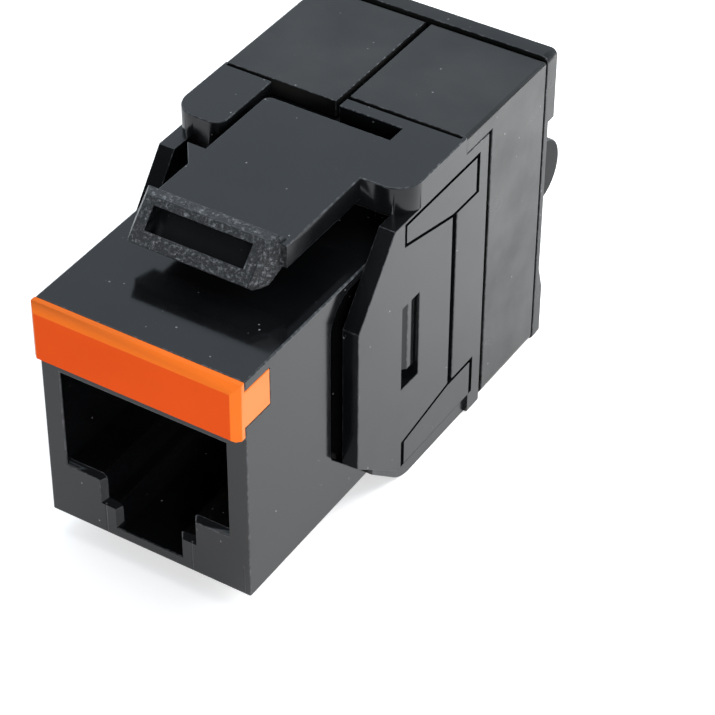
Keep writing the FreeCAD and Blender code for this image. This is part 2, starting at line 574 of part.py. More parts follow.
def latch_frame():
    """The frame that grips the nose: floor, snap plates, ears, latch tongue and grip."""
    body = new_body("latch_frame")
    strip_back = "grip_front + grip_rise + grip_strip"
    grip = [
        ("grip_front", "grip_low"),
        ("grip_front + grip_rise", "grip_low + grip_rise"),
        (strip_back, "grip_low + grip_rise"),
        (f"{strip_back} + grip_heel", "roof_top"),
        (f"{strip_back} + grip_heel", "tongue_low"),
        ("grip_front + grip_lip * 2", "grip_low - grip_lip"),
        ("grip_front + grip_lip", "grip_low - grip_lip"),
    ]
    prism(body, "grip", "YZ_Plane", "-grip_half", "grip_half", grip)
    half_way = value("grip_low") + value("grip_rise") / 2
    grip_ends = soften(
        body, "Chamfer", "grip_ends", "grip_bevel", lambda p: near(p.z, half_way), (0, 1, 1)
    )
    grip_ends.ChamferType = "Two distances"
    grip_ends.setExpression("Size2", formula("grip_bevel_long"))
    lip_bevel = [
        ("grip_half - grip_bevel_long", "grip_front"),
        ("grip_half", "grip_front"),
        ("grip_half", "grip_front + grip_bevel_long * sqrt(2)"),
    ]
    lip_end = prism(
        body, "lip_end", "XY_Plane", "grip_low - grip_lip", "grip_low", lip_bevel, cut=True
    )
    mirror(body, "other_lip_end", [lip_end])
    tongue = [
        ("tongue_right", "tongue_front"),
        ("tongue_right", "ear_front + 0.5"),
        ("-tongue_left", "ear_front + 0.5"),
        ("-tongue_left", "flare_back"),
        ("-flare_left", "flare_back"),
        ("-tongue_left", "flare_front"),
        ("-tongue_left", "tongue_front"),
    ]
    prism(body, "tongue", "XY_Plane", "tongue_low", "roof_top", tongue)
    roof = rectangle("-frame_half", "frame_half", "ear_front", "frame_back")
    prism(body, "roof", "XY_Plane", "roof_low", "roof_top", roof)
    ears = (value("frame_half"), value("ear_front"))
    soften(
        body,
        "Fillet",
        "ear_corners",
        "ear_round",
        lambda p: near(abs(p.x), ears[0]) and near(p.y, ears[1]),
        (0, 0, 1),
    )
    slot = [
        ("-ear_inner", "ear_front - 0.5"),
        ("-tongue_left", "ear_front - 0.5"),
        ("-tongue_left", "slot_front"),
        ("slot_end", "slot_front"),
        ("slot_end", "slot_rear"),
        ("-ear_inner", "slot_rear"),
    ]
    prism(body, "tongue_slot", "XY_Plane", "roof_low", "roof_top", slot, cut=True)
    soften(
        body,
        "Fillet",
        "inner_ear_corner",
        "ear_inner_round",
        lambda p: near(p.x, -value("ear_inner")) and near(p.y, ears[1]),
        (0, 0, 1),
    )
    soften(
        body,
        "Fillet",
        "tongue_corner",
        "tongue_round",
        lambda p: near(p.x, -value("tongue_left")) and near(p.y, value("slot_front")),
        (0, 0, 1),
    )
    low_corner = "grip_front + pocket_start"
    low_height = "grip_low + pocket_start"
    pocket = [
        (f"{low_corner} - 0.5", f"{low_height} + 0.5"),
        (f"{low_corner} + pocket_rise - 0.5", f"{low_height} + pocket_rise + 0.5"),
        (f"{low_corner} + pocket_rise + pocket_deep", f"{low_height} + pocket_rise - pocket_deep"),
        (f"{low_corner} + pocket_deep", f"{low_height} - pocket_deep"),
    ]
    prism(body, "finger_pocket", "YZ_Plane", "-pocket_half", "pocket_half", pocket, cut=True)
    seats = {
        "left_lid_seat": rectangle("-frame_half", "door_gap / 2", "left_lid_front", "frame_back"),
        "left_lid_seam": rectangle(
            "seam_web - frame_half", "door_gap / 2", "left_lid_front - door_gap", "left_lid_front"
        ),
        "right_lid_seat": rectangle("-seam_right", "frame_half", "right_lid_front", "frame_back"),
        "right_lid_seam": rectangle(
            "-seam_right", "frame_half - seam_web", "right_lid_front - door_gap", "right_lid_front"
        ),
    }
    for name, corners in seats.items():
        prism(body, name, "XY_Plane", "lid_seat", "roof_top", corners, cut=True)
    wall = rectangle("-frame_half", "frame_half", "frame_low", "lid_seat")
    prism(body, "back", "XZ_Plane", "wall_front", "frame_back", wall)
    doorway = rectangle(
        "-tower_half - door_gap", "tower_half + door_gap", "chamber_low", "tower_high + door_gap"
    )
    prism(body, "doorway", "XZ_Plane", "wall_front", "frame_back", doorway, cut=True)
    floor = [
        ("floor_front", "0"),
        ("floor_front + floor_slope", "frame_low"),
        ("frame_back", "frame_low"),
        ("frame_back", "0"),
    ]
    prism(body, "floor", "YZ_Plane", "-floor_half", "floor_half", floor)
    floor_turn = value("floor_front") + value("floor_slope")
    soften(
        body,
        "Fillet",
        "floor_bend",
        "floor_round",
        lambda p: near(p.y, floor_turn) and near(p.z, value("frame_low")),
        (1, 0, 0),
    )
    skirt = [
        ("floor_front - skirt_long", "skirt_high"),
        ("floor_front", "0"),
        ("plate_bottom_front + skirt_long", "0"),
        ("plate_bottom_front + skirt_long", "skirt_high * 2"),
        ("floor_front - skirt_long", "skirt_high * 2"),
    ]
    side_skirt = prism(body, "skirt", "YZ_Plane", "nose_half", "floor_half", skirt)
    mirror(body, "other_skirt", [side_skirt])
    plate = [
        ("plate_front", "plate_low_turn"),
        ("plate_bottom_front", "plate_low"),
        ("frame_back", "plate_low"),
        ("frame_back", "plate_top"),
        ("plate_top_front", "plate_top"),
        ("plate_front", "plate_high_turn"),
    ]
    snap_plate = prism(body, "snap_plate", "YZ_Plane", "nose_half", "frame_half", plate)
    mirror(body, "other_snap_plate", [snap_plate])
    rail = rectangle("rail_inner", "nose_half", "rail_front", "wall_front")
    seat_rail = prism(body, "rail", "XY_Plane", "nose_high", "roof_low", rail)
    mirror(body, "other_rail", [seat_rail])
    window = rectangle("window_front", "window_back", "window_low", "window_high")
    side_window = prism(
        body, "window", "YZ_Plane", "nose_half", "frame_half", window, cut=True
    )
    slit = rectangle("slit_front", "slit_front + slit_wide", "low_tab_top", "high_tab_low")
    side_slit = prism(body, "slit", "YZ_Plane", "nose_half", "frame_half", slit, cut=True)
    cuts = [side_window, side_slit]
    part_lines = {
        "upper_tab_top": rectangle(
            "tab_front", "tab_back", "high_tab_top - groove_wide", "high_tab_top"
        ),
        "upper_tab_bottom": tab_edge("high_tab_front", "high_tab_low", "+ groove_wide"),
        "upper_tab_front": rectangle(
            "tab_front", "tab_front + groove_wide", "high_tab_front", "high_tab_top"
        ),
        "upper_tab_rear": rectangle(
            "tab_back - tab_gap", "tab_back", "high_tab_low", "high_tab_top"
        ),
        "lower_tab_top": tab_edge("low_tab_front", "low_tab_top", "- groove_wide"),
        "lower_tab_front": rectangle(
            "tab_front", "tab_front + tab_gap", "plate_low", "low_tab_front"
        ),
        "lower_tab_rear": rectangle(
            "tab_back - tab_gap", "tab_back", "plate_low", "low_tab_top"
        ),
    }
    for name, corners in part_lines.items():
        start = "frame_half - groove_deep"
        cuts.append(prism(body, name, "YZ_Plane", start, "frame_half", corners, cut=True))
    floor_line = rectangle("tab_front", "tab_back", "plate_low - floor_line_high", "plate_low")
    start = "floor_half - groove_deep"
    cuts.append(prism(body, "floor_line", "YZ_Plane", start, "floor_half", floor_line, cut=True))
    mirror(body, "other_side_cuts", cuts)
    shelf = rectangle("-foot_half", "foot_half", "frame_low", "shelf_top")
    prism(body, "cap_shelf", "XZ_Plane", "frame_back - 0.5", "cap_front", shelf)
    bore_end = "door_front - pin_long - pin_end"
    hinge = ("door_inner", "hinge_high")
    bore = disc(
        body,
        "pin_bore",
        "XZ_Plane",
        bore_end,
        "frame_back",
        hinge,
        "pin_radius + pin_fit",
        cut=True,
    )
    mirror(body, "other_pin_bore", [bore])
    return body


def colour_clip():
    """The coloured clip: a bevelled face with an arm at each end, pushed on from the front."""
    body = new_body("colour_clip")
    face = rectangle("-nose_half", "nose_half", "clip_low", "nose_high")
    prism(body, "face", "XZ_Plane", "-clip_thick", "0", face)
    front = -value("clip_thick")
    low = value("clip_low")
    soften(
        body,
        "Chamfer",
        "low_bevel",
        "clip_low_bevel",
        lambda p: near(p.y, front) and near(p.z, low),
        (1, 0, 0),
    )
    soften(
        body,
        "Chamfer",
        "high_bevel",
        "clip_bevel",
        lambda p: near(p.y, front) and p.z > low + value("clip_bevel"),
        (1, 0, 0),
    )
    soften(body, "Chamfer", "end_bevels", "clip_bevel", lambda p: near(p.y, front), (0, 0, 1))
    arm = rectangle("-0.2", "arm_long", "arm_low", "arm_high")
    end_arm = prism(body, "arm", "YZ_Plane", "nose_half - arm_thick", "nose_half", arm)
    mirror(body, "other_arm", [end_arm])
    return body


def contact_comb():
    """The insert that holds the contacts over the port and spaces their tips."""
    body = new_body("contact_comb")
    side = "cavity_half - comb_fit"
    shelf = rectangle(f"-({side})", side, "contact_run", "cavity_top")
    prism(body, "shelf", "XZ_Plane", "cavity_front + comb_fit", "board_front", shelf)
    wall = rectangle(f"-({side})", side, "chamber_low", "contact_run")
    prism(body, "wall", "XZ_Plane", "port_deep", "board_front", wall)
    teeth = rectangle("-comb_half", "comb_half", "comb_low", "contact_run - 2 * contact_strip")
    prism(body, "teeth", "XZ_Plane", "comb_front", "port_deep", teeth)
    row_half = "(contact_pitch * 3.5 + contact_strip)"
    window = rectangle(
        f"-{row_half}", row_half, "contact_run - contact_strip - comb_fit", "contact_run"
    )
    prism(body, "contact_window", "XZ_Plane", "comb_front", "board_front", window, cut=True)
    left = "-contact_pitch * 3.5 - comb_slot / 2"
    slot = rectangle(left, f"{left} + comb_slot", "comb_low", "comb_slot_top")
    tip_slot = prism(
        body, "tip_slot", "XZ_Plane", "comb_front", "comb_front + comb_slot_deep", slot, cut=True
    )
    row_of(body, "tip_slots", [tip_slot], "X_Axis", CONTACTS, "contact_pitch")
    return body


def contact(number):
    """One sprung contact: a straight run under the comb's shelf, bent back into the port."""
    body = new_body(f"contact_{number}")
    middle = f"contact_pitch * {number - (CONTACTS + 1) / 2}"
    bottom = "contact_run - contact_strip"
    slope = "contact_drop / (contact_tip - contact_front)"
    strip = [
        ("board_back", "contact_run"),
        ("contact_front", "contact_run"),
        ("contact_front", "contact_run - 0.2"),
        ("contact_tip", "contact_run - contact_drop - 0.2"),
        ("contact_tip + 0.15", "contact_run - contact_drop + 0.1"),
        ("contact_front + 0.9", f"contact_run - {slope} * 0.75"),
        ("contact_front + 1.1", bottom),
        ("board_back", bottom),
    ]
    low = f"{middle} - contact_strip / 2"
    high = f"{middle} + contact_strip / 2"
    prism(body, "strip", "YZ_Plane", low, high, strip)
    return body


def blade_height(index):
    """The height of one of the four blades on a side, as a formula."""
    return f"(blade_first + {index} * blade_pitch)"


def circuit_board():
    """The board that joins the contacts to the blades, with its plated holes."""
    body = new_body("circuit_board")
    edge = "chamber_half - board_fit"
    sheet_outline = rectangle(
        f"-({edge})", edge, "chamber_low + board_fit", "chamber_high - board_fit"
    )
    prism(body, "board", "XZ_Plane", "board_front", "board_back", sheet_outline)
    first = ("-contact_pitch * 3.5", "contact_run - contact_strip / 2")
    hole = disc(
        body,
        "contact_hole",
        "XZ_Plane",
        "board_front",
        "board_back",
        first,
        "contact_hole",
        cut=True,
    )
    row_of(body, "contact_holes", [hole], "X_Axis", CONTACTS, "contact_pitch")
    holes = []
    for index in range(BLADES_A_SIDE):
        spot = ("spine_half + blade_thick / 2", blade_height(index))
        hole = disc(
            body,
            f"blade_hole_{index + 1}",
            "XZ_Plane",
            "board_front",
            "board_back",
            spot,
            "blade_hole",
            cut=True,
        )
        holes.append(hole)
    mirror(body, "other_blade_holes", holes)
    return body


def terminal_block():
    """The block behind the board: a base, a hollow spine and two towers that hold the blades."""
    body = new_body("terminal_block")
    edge = "chamber_half - base_fit"
    base = rectangle(f"-({edge})", edge, "chamber_low + base_fit", "chamber_high - base_fit")
    prism(body, "base", "XZ_Plane", "board_back", "base_back", base)
    spine = rectangle("-spine_half", "spine_half", "spine_low", "spine_high")
    prism(body, "spine", "XZ_Plane", "base_back", "spine_back", spine)
    towers = rectangle("-tower_half", "tower_half", "spine_low", "tower_high")
    prism(body, "towers", "XZ_Plane", "tower_front", "tower_back", towers)
    throat = rectangle("-throat_half", "throat_half", "throat_low", "throat_high")
    prism(body, "throat", "XZ_Plane", "throat_front", "spine_back", throat, cut=True)
    fork_front = "tower_front + (tower_thick - blade_thick) / 2"
    cuts = []
    for index in range(BLADES_A_SIDE):
        level = blade_height(index)
        tail_half = "(tail_half + tail_fit)"
        fork_half = "(blade_half + tail_fit)"
        tail_slot = rectangle(
            "spine_half",
            "spine_half + blade_thick + tail_fit",
            f"{level} - {tail_half}",
            f"{level} + {tail_half}",
        )
        title = f"tail_slot_{index + 1}"
        cuts.append(prism(body, title, "XZ_Plane", "board_back", fork_front, tail_slot, cut=True))
        fork_slot = rectangle(
            "spine_half", "tower_half", f"{level} - {fork_half}", f"{level} + {fork_half}"
        )
        title = f"fork_slot_{index + 1}"
        fork_low = f"{fork_front} - tail_fit"
        fork_high = f"{fork_front} + blade_thick + tail_fit"
        cuts.append(prism(body, title, "XZ_Plane", fork_low, fork_high, fork_slot, cut=True))
        wire_slot = rectangle(
            "tower_half - blade_slot_deep",
            "tower_half",
            f"{level} - wire_slot / 2",
            f"{level} + wire_slot / 2",
        )
        title = f"wire_slot_{index + 1}"
        cuts.append(
            prism(body, title, "XZ_Plane", "tower_front", "tower_back", wire_slot, cut=True)
        )
    mirror(body, "other_tower_cuts", cuts)
    return body


def blade(number):
    """One slotted blade: a fork that bites the wire, and a tail through the board."""
    body = new_body(f"terminal_blade_{number}")
    side = "" if number <= BLADES_A_SIDE else "-"
    level = blade_height((number - 1) % BLADES_A_SIDE)
    inner = f"{side}spine_half"
    tip = f"{side}(tower_half - blade_inset)"
    bottom = f"{side}(tower_half - blade_slot_deep)"
    lead = f"{side}(tower_half - blade_inset - blade_lead)"
    fork = [
        (inner, f"{level} - blade_half"),
        (tip, f"{level} - blade_half"),
        (tip, f"{level} - blade_lead"),
        (lead, f"{level} - blade_slot"),
        (bottom, f"{level} - blade_slot"),
        (bottom, f"{level} + blade_slot"),
        (lead, f"{level} + blade_slot"),
        (tip, f"{level} + blade_lead"),
        (tip, f"{level} + blade_half"),
        (inner, f"{level} + blade_half"),
    ]
    fork_front = "tower_front + (tower_thick - blade_thick) / 2"
    prism(body, "fork", "XZ_Plane", fork_front, f"{fork_front} + blade_thick", fork)
    outer = f"{side}(spine_half + blade_thick)"
    tail = rectangle(inner, outer, f"{level} - tail_half", f"{level} + tail_half")
    prism(body, "tail", "XZ_Plane", "board_front", fork_front, tail)
    return body


def door(label, side, seam, lid_front):
    """One rear door: half the top and one side wall, on a barrel hinge along its lower edge."""
    body = new_body(label)
    outer = f"{side}frame_half"
    inner = f"{side}door_inner"
    shell = [
        (f"{side}{seam}", "lid_low"),
        (f"{side}{seam}", "roof_top"),
        (outer, "roof_top"),
        (outer, "frame_low"),
        (inner, "frame_low"),
        (inner, "lid_low"),
    ]
    prism(body, "shell", "XZ_Plane", "door_front", "door_back", shell)
    lid = rectangle(f"{side}{seam}", outer, "lid_low", "roof_top")
    prism(body, "lid", "XZ_Plane", lid_front, "door_front", lid)
    corner = (value("frame_half"), value("door_back"))
    soften(
        body,
        "Fillet",
        "lower_edge",
        "door_low_round",
        lambda p: near(abs(p.x), corner[0]) and near(p.z, value("frame_low")),
        (0, 1, 0),
    )
    soften(
        body,
        "Fillet",
        "upper_edges",
        "door_round",
        lambda p: (near(abs(p.x), corner[0]) or near(p.y, corner[1]))
        and near(p.z, value("roof_top")),
        (0, 1, 0),
        (1, 0, 0),
    )
    hinge = (inner, "hinge_high")
    disc(body, "barrel", "XZ_Plane", "door_front", "door_back", hinge, "door_wall")
    pins = ("door_front - pin_long", "door_back + pin_long")
    disc(body, "pins", "XZ_Plane", *pins, hinge, "pin_radius")
    comb = rectangle(f"{side}rib_inner", inner, "rib_low", "rib_high")
    starts = {
        "front_comb": "tower_front - door_gap - rib_thick",
        "rear_comb": "tower_back + door_gap",
    }
    for name, start in starts.items():
        prism(body, name, "XZ_Plane", start, f"{start} + rib_thick", comb)
    for index in range(BLADES_A_SIDE):
        level = blade_height(index)
        slot = rectangle(
            f"{side}rib_inner",
            f"{side}(rib_inner + rib_slot_deep)",
            f"{level} - wire_slot / 2",
            f"{level} + wire_slot / 2",
        )
        prism(
            body,
            f"wire_slot_{index + 1}",
            "XZ_Plane",
            starts["front_comb"],
            f"{starts['rear_comb']} + rib_thick",
            slot,
            cut=True,
        )
    return body


def rear_cap():
    """The rear cap: a plate with the cable entry, lugs beside the doors and two finger pads."""
    body = new_body("rear_cap")
    plate = [
        ("-cap_waist", "frame_low"),
        ("cap_waist", "frame_low"),
        ("cap_waist", "high_lug_low"),
        ("frame_half", "high_lug_low"),
        ("frame_half", "cap_top"),
        ("-frame_half", "cap_top"),
        ("-frame_half", "high_lug_low"),
        ("-cap_waist", "high_lug_low"),
    ]
    prism(body, "plate", "XZ_Plane", "cap_front", "cap_back", plate)
    flange = rectangle("-frame_half", "frame_half", "frame_low", "high_lug_low")
    flange_back = "cap_front + flange_thick"
    prism(body, "flange", "XZ_Plane", "cap_front", flange_back, flange)
    low_lug = [
        ("cap_front", "frame_low"),
        ("cap_front + low_lug_thick", "frame_low"),
        ("cap_front + low_lug_thick", "low_lug_high - low_lug_taper"),
        (flange_back, "low_lug_high"),
        ("cap_front", "low_lug_high"),
    ]
    right_lug = prism(body, "lower_lug", "YZ_Plane", "cap_waist", "frame_half", low_lug)
    mirror(body, "other_lower_lug", [right_lug])
    corners = (value("frame_low"), value("cap_top"))
    edge = value("frame_half")
    soften(
        body,
        "Fillet",
        "outer_corners",
        "cap_round",
        lambda p: near(abs(p.x), edge) and any(near(p.z, level) for level in corners),
        (0, 1, 0),
    )
    soften(
        body,
        "Chamfer",
        "lug_bevels",
        "lug_bevel",
        lambda p: near(abs(p.x), edge) and near(p.z, value("high_lug_low")),
        (0, 1, 0),
    )
    heel = rectangle("-heel_half", "heel_half", "shelf_top", "shelf_top + heel_high")
    prism(body, "heel", "XZ_Plane", "cap_front - heel_long", "cap_front", heel)
    pad_outer = "frame_half - pad_inset"
    pad_inner = f"{pad_outer} - pad_wide"
    centre = ("cap_front + pad_set", "pad_high")
    pad = disc(body, "finger_pad", "YZ_Plane", pad_inner, pad_outer, centre, "pad_radius")
    trim = rectangle(
        "cap_front - pad_radius", "cap_front", "pad_high - pad_radius", "pad_high + pad_radius"
    )
    pad_trim = prism(body, "pad_trim", "YZ_Plane", pad_inner, pad_outer, trim, cut=True)
    mirror(body, "other_finger_pad", [pad, pad_trim])
    entry = ("0", "cable_high")
    disc(body, "cable_entry", "XZ_Plane", "cap_front", "cap_back", entry, "cable_radius", cut=True)
    hinge = ("door_inner", "hinge_high")
    radius = "pin_radius + pin_fit"
    bore = disc(body, "pin_bore", "XZ_Plane", "cap_front", "cap_back", hinge, radius, cut=True)
    mirror(body, "other_pin_bore", [bore])
    return body


pieces = [jack_housing(), latch_frame(), colour_clip(), contact_comb(), circuit_board()]
pieces.append(terminal_block())
pieces += [contact(number) for number in range(1, CONTACTS + 1)]
pieces += [blade(number) for number in range(1, 2 * BLADES_A_SIDE + 1)]
pieces.append(door("right_door", "", "seam_right", "right_lid_front"))
pieces.append(door("left_door", "-", "seam_left", "left_lid_front"))
pieces.append(rear_cap())
doc.recompute()

for item in doc.Objects:
    if "Invalid" in item.State or "Error" in item.State:
        raise RuntimeError(f"{item.Label} did not build: {item.State}")
for piece in pieces:
    if piece.Shape.isNull() or not piece.Shape.isValid():
        raise RuntimeError(f"{piece.Label} has no valid solid")
for piece in pieces:
    piece.Shape.exportStep(f"parts/{piece.Label}.step")
    box = piece.Shape.BoundBox
    print(
        f"{piece.Label}: {len(piece.Shape.Solids)} solid, {piece.Shape.Volume:.1f} mm3,"
        f" X {box.XMin:.2f} to {box.XMax:.2f}, Y {box.YMin:.2f} to {box.YMax:.2f},"
        f" Z {box.ZMin:.2f} to {box.ZMax:.2f}"
    )
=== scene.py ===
# %% [markdown]
# A keystone jack is the small black block behind a network socket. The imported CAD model
# already has every piece at its true size, so this lesson dresses it: rounded moulding
# edges, plastics with grain and dust, sprung contacts, soft light and the photograph's view.
# No CAD piece is moved. Each one takes a finish, or a dressed copy stands in for it.

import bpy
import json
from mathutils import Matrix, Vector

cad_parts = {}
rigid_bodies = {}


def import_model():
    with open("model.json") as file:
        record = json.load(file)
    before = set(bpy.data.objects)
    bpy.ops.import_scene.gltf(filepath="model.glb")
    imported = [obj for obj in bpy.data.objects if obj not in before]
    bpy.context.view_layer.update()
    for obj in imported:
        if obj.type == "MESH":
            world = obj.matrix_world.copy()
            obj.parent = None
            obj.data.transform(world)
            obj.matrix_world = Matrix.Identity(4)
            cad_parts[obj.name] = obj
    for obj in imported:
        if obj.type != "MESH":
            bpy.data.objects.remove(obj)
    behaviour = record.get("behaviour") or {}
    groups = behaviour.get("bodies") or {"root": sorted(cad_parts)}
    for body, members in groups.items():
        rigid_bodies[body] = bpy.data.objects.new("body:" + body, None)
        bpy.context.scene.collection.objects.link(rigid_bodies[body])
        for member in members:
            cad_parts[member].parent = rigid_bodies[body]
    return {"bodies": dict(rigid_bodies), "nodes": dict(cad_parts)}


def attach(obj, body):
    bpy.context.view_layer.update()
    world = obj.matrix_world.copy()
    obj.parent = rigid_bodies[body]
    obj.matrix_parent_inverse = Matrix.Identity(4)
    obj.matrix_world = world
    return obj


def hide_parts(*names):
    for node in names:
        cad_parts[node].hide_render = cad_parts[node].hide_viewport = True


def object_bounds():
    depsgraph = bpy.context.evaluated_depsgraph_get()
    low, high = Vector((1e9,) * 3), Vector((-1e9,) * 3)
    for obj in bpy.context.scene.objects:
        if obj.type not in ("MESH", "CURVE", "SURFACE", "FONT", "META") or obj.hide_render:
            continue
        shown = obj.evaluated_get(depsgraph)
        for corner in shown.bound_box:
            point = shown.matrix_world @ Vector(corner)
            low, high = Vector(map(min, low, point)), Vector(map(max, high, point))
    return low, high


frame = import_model()
cad_box = [[float(v) for v in corner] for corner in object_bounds()]

import json
import math

import bmesh
import bpy
from mathutils import Matrix, Vector

MM = 0.001
nodes = frame["nodes"]
body_of = {n: b for b, o in frame["bodies"].items() for n in nodes if nodes[n].parent == o}


def node_box(name):
    """The lowest and the highest corner of one CAD piece, in mm."""
    by_axis = list(zip(*(vertex.co / MM for vertex in nodes[name].data.vertices)))
    return Vector([min(values) for values in by_axis]), Vector([max(values) for values in by_axis])


def in_mm(box):
    """A box's corners in mm, rounded to be read."""
    return [[round(v / MM, 2) for v in corner] for corner in box]


print("box in mm:", in_mm(cad_box))

# %% [markdown]
# The camera comes first, because the photograph decides what has to be right. It looks down
# on the jack from its front right with a long lens, so lines that run back stay nearly
# parallel. The numbers come from matching the jack's straight edges to the picture.

# %% The photograph's camera
CAMERA_PLACE = Vector((73.894, -95.605, 114.142)) * MM
YAW = math.radians(31.772)
PITCH = math.radians(39.422)
ROLL = math.radians(0.375)
SENSOR = 36.0
FOCAL_PIXELS = 2728.741
PHOTO_PIXELS = 715
NEAREST, FARTHEST = 0.005, 10.0

forward = Vector((
    -math.sin(YAW) * math.cos(PITCH),
    math.cos(YAW) * math.cos(PITCH),
    -math.sin(PITCH),
))
level_right = forward.cross(Vector((0, 0, 1))).normalized()
level_up = level_right.cross(forward)
right = level_right * math.cos(ROLL) + level_up * math.sin(ROLL)
up = level_up * math.cos(ROLL) - level_right * math.sin(ROLL)

lens = bpy.data.cameras.new("photo_view")
lens.lens = SENSOR * FOCAL_PIXELS / PHOTO_PIXELS
lens.sensor_width = SENSOR
lens.sensor_fit = "HORIZONTAL"
lens.clip_start = NEAREST
lens.clip_end = FARTHEST
camera = bpy.data.objects.new("photo_view", lens)
bpy.context.scene.collection.objects.link(camera)
axes = Matrix((right, up, -forward)).transposed().to_4x4()
camera.matrix_world = Matrix.Translation(CAMERA_PLACE) @ axes
bpy.context.scene.camera = camera
print("camera lens mm:", round(lens.lens, 1))

# %% [markdown]
# Every finish below is built from a few small parts: noise at a real scale, a value stretched
# to another range, and one colour drifting to another. Written once as helpers, they keep
# each material short. All of them read Object coordinates, so nothing slides when a door opens.

# %% Helpers for finishes
def set_inputs(node, values):
    """Plain values for a node's named sockets."""
    for socket, value in values.items():
        node.inputs[socket].default_value = value


def new_material(name):
    """An empty node material with its shader and its Object coordinates."""
    material = bpy.data.materials.new(name)
    material.use_nodes = True
    tree = material.node_tree
    place = tree.nodes.new("ShaderNodeTexCoord").outputs["Object"]
    return material, tree, tree.nodes["Principled BSDF"], place


def add_noise(tree, place, marks, detail, roughness=0.5):
    """Noise with a number of marks per metre."""
    noise = tree.nodes.new("ShaderNodeTexNoise")
    set_inputs(noise, {"Scale": marks, "Detail": detail, "Roughness": roughness})
    tree.links.new(place, noise.inputs["Vector"])
    return noise.outputs["Fac"]


def remap(tree, value, low, high, to_low, to_high, smooth=False):
    """A value stretched from one range to another."""
    node = tree.nodes.new("ShaderNodeMapRange")
    node.interpolation_type = "SMOOTHSTEP" if smooth else "LINEAR"
    set_inputs(node, {"From Min": low, "From Max": high, "To Min": to_low, "To Max": to_high})
    tree.links.new(value, node.inputs["Value"])
    return node.outputs["Result"]


def combine(tree, kind, first, second):
    """Two values joined by one sum, such as MULTIPLY or MAXIMUM."""
    node = tree.nodes.new("ShaderNodeMath")
    node.operation = kind
    for socket, value in zip(node.inputs, (first, second)):
        if hasattr(value, "links"):
            tree.links.new(value, socket)
        else:
            socket.default_value = value
    return node.outputs[0]


def mix_colour(tree, amount, first, second):
    """One colour drifting to another."""
    node = tree.nodes.new("ShaderNodeMix")
    node.data_type = "RGBA"
    for socket, colour in ((node.inputs["A"], first), (node.inputs["B"], second)):
        if hasattr(colour, "links"):
            tree.links.new(colour, socket)
        else:
            socket.default_value = (*colour, 1)
    tree.links.new(amount, node.inputs["Factor"])
    return node.outputs["Result"]


def add_bump(tree, shader, height, strength, depth):
    """Relief that bends the surface's normal, with its depth in metres."""
    bump = tree.nodes.new("ShaderNodeBump")
    set_inputs(bump, {"Strength": strength, "Distance": depth})
    tree.links.new(height, bump.inputs["Height"])
    tree.links.new(bump.outputs["Normal"], shader.inputs["Normal"])


print("helpers ready")

# %% [markdown]
# A real moulding is never quite clean. A few specks of dust keep black plastic from looking
# computed. Each is the middle of one cell of a cell texture, less than a fifth of a
# millimetre across, and a second noise lets only a few of them through.

# %% Dust
DUST_CELLS, DUST_PATCHES = 1300, 700
DUSTY_PATCH = (0.56, 0.60)
SPECK_CORE, SPECK_RIM = 0.05, 0.11
DUST_COLOUR = (0.34, 0.34, 0.35)


def dust_specks(tree, place, amount):
    """Rare pale points of dust, as a value from 0 to 1."""
    cells = tree.nodes.new("ShaderNodeTexVoronoi")
    set_inputs(cells, {"Scale": DUST_CELLS})
    tree.links.new(place, cells.inputs["Vector"])
    rare = remap(tree, add_noise(tree, place, DUST_PATCHES, detail=2), *DUSTY_PATCH, 0, 1)
    from_middle = cells.outputs["Distance"]
    dots = remap(tree, from_middle, SPECK_CORE, SPECK_RIM, amount, 0, smooth=True)
    return combine(tree, "MULTIPLY", rare, dots)


print("dust cells per metre:", DUST_CELLS)

# %% [markdown]
# Fine upright grooves on the nose's face show where the mould's inserts met. They are far
# too slight to model, so they are relief in the finish: a band across X that stops at a
# height and is cut only near the face.

# %% Part lines of the mould
LINE_HALF = (0.02 * MM, 0.07 * MM)
LINE_FADE = 0.1
LINE_DEPTH = 0.06 * MM
LINE_COLOUR = (0.0005, 0.0005, 0.0005)
FACE_DEPTH = (0.05 * MM, 0.10 * MM)
FACE_LINES = ((-3.15, 3.4), (3.15, 3.4), (6.9, 2.3))


def add_part_line(tree, shader, place, line):
    """A fine upright groove in the face; a line is its place across and its top, in mm."""
    across, top = line
    apart = tree.nodes.new("ShaderNodeSeparateXYZ")
    tree.links.new(place, apart.inputs["Vector"])
    aside = combine(tree, "ABSOLUTE", combine(tree, "SUBTRACT", apart.outputs["X"], across * MM), 0)
    groove = remap(tree, aside, *LINE_HALF, 1, 0, smooth=True)
    below = remap(tree, apart.outputs["Z"], (top - LINE_FADE) * MM, top * MM, 1, 0)
    ahead = remap(tree, apart.outputs["Y"], *FACE_DEPTH, 1, 0)
    cut = combine(tree, "MULTIPLY", combine(tree, "MULTIPLY", groove, below), ahead)
    relief = tree.nodes.new("ShaderNodeBump")
    relief.invert = True
    set_inputs(relief, {"Strength": 1.0, "Distance": LINE_DEPTH})
    tree.links.new(cut, relief.inputs["Height"])
    tree.links.new(shader.inputs["Normal"].links[0].from_socket, relief.inputs["Normal"])
    tree.links.new(relief.outputs["Normal"], shader.inputs["Normal"])
    tone = shader.inputs["Base Color"].links[0].from_socket
    tree.links.new(mix_colour(tree, cut, tone, LINE_COLOUR), shader.inputs["Base Color"])


print("part lines on the face:", len(FACE_LINES))

# %% [markdown]
# Black moulded plastic has almost no colour of its own. Its look is its gloss: polished
# mould faces mirror softly, with a breath of unevenness. So one recipe takes a colour and
# the colour it drifts to, the roughness of its gloss, and how strongly it mirrors at all.

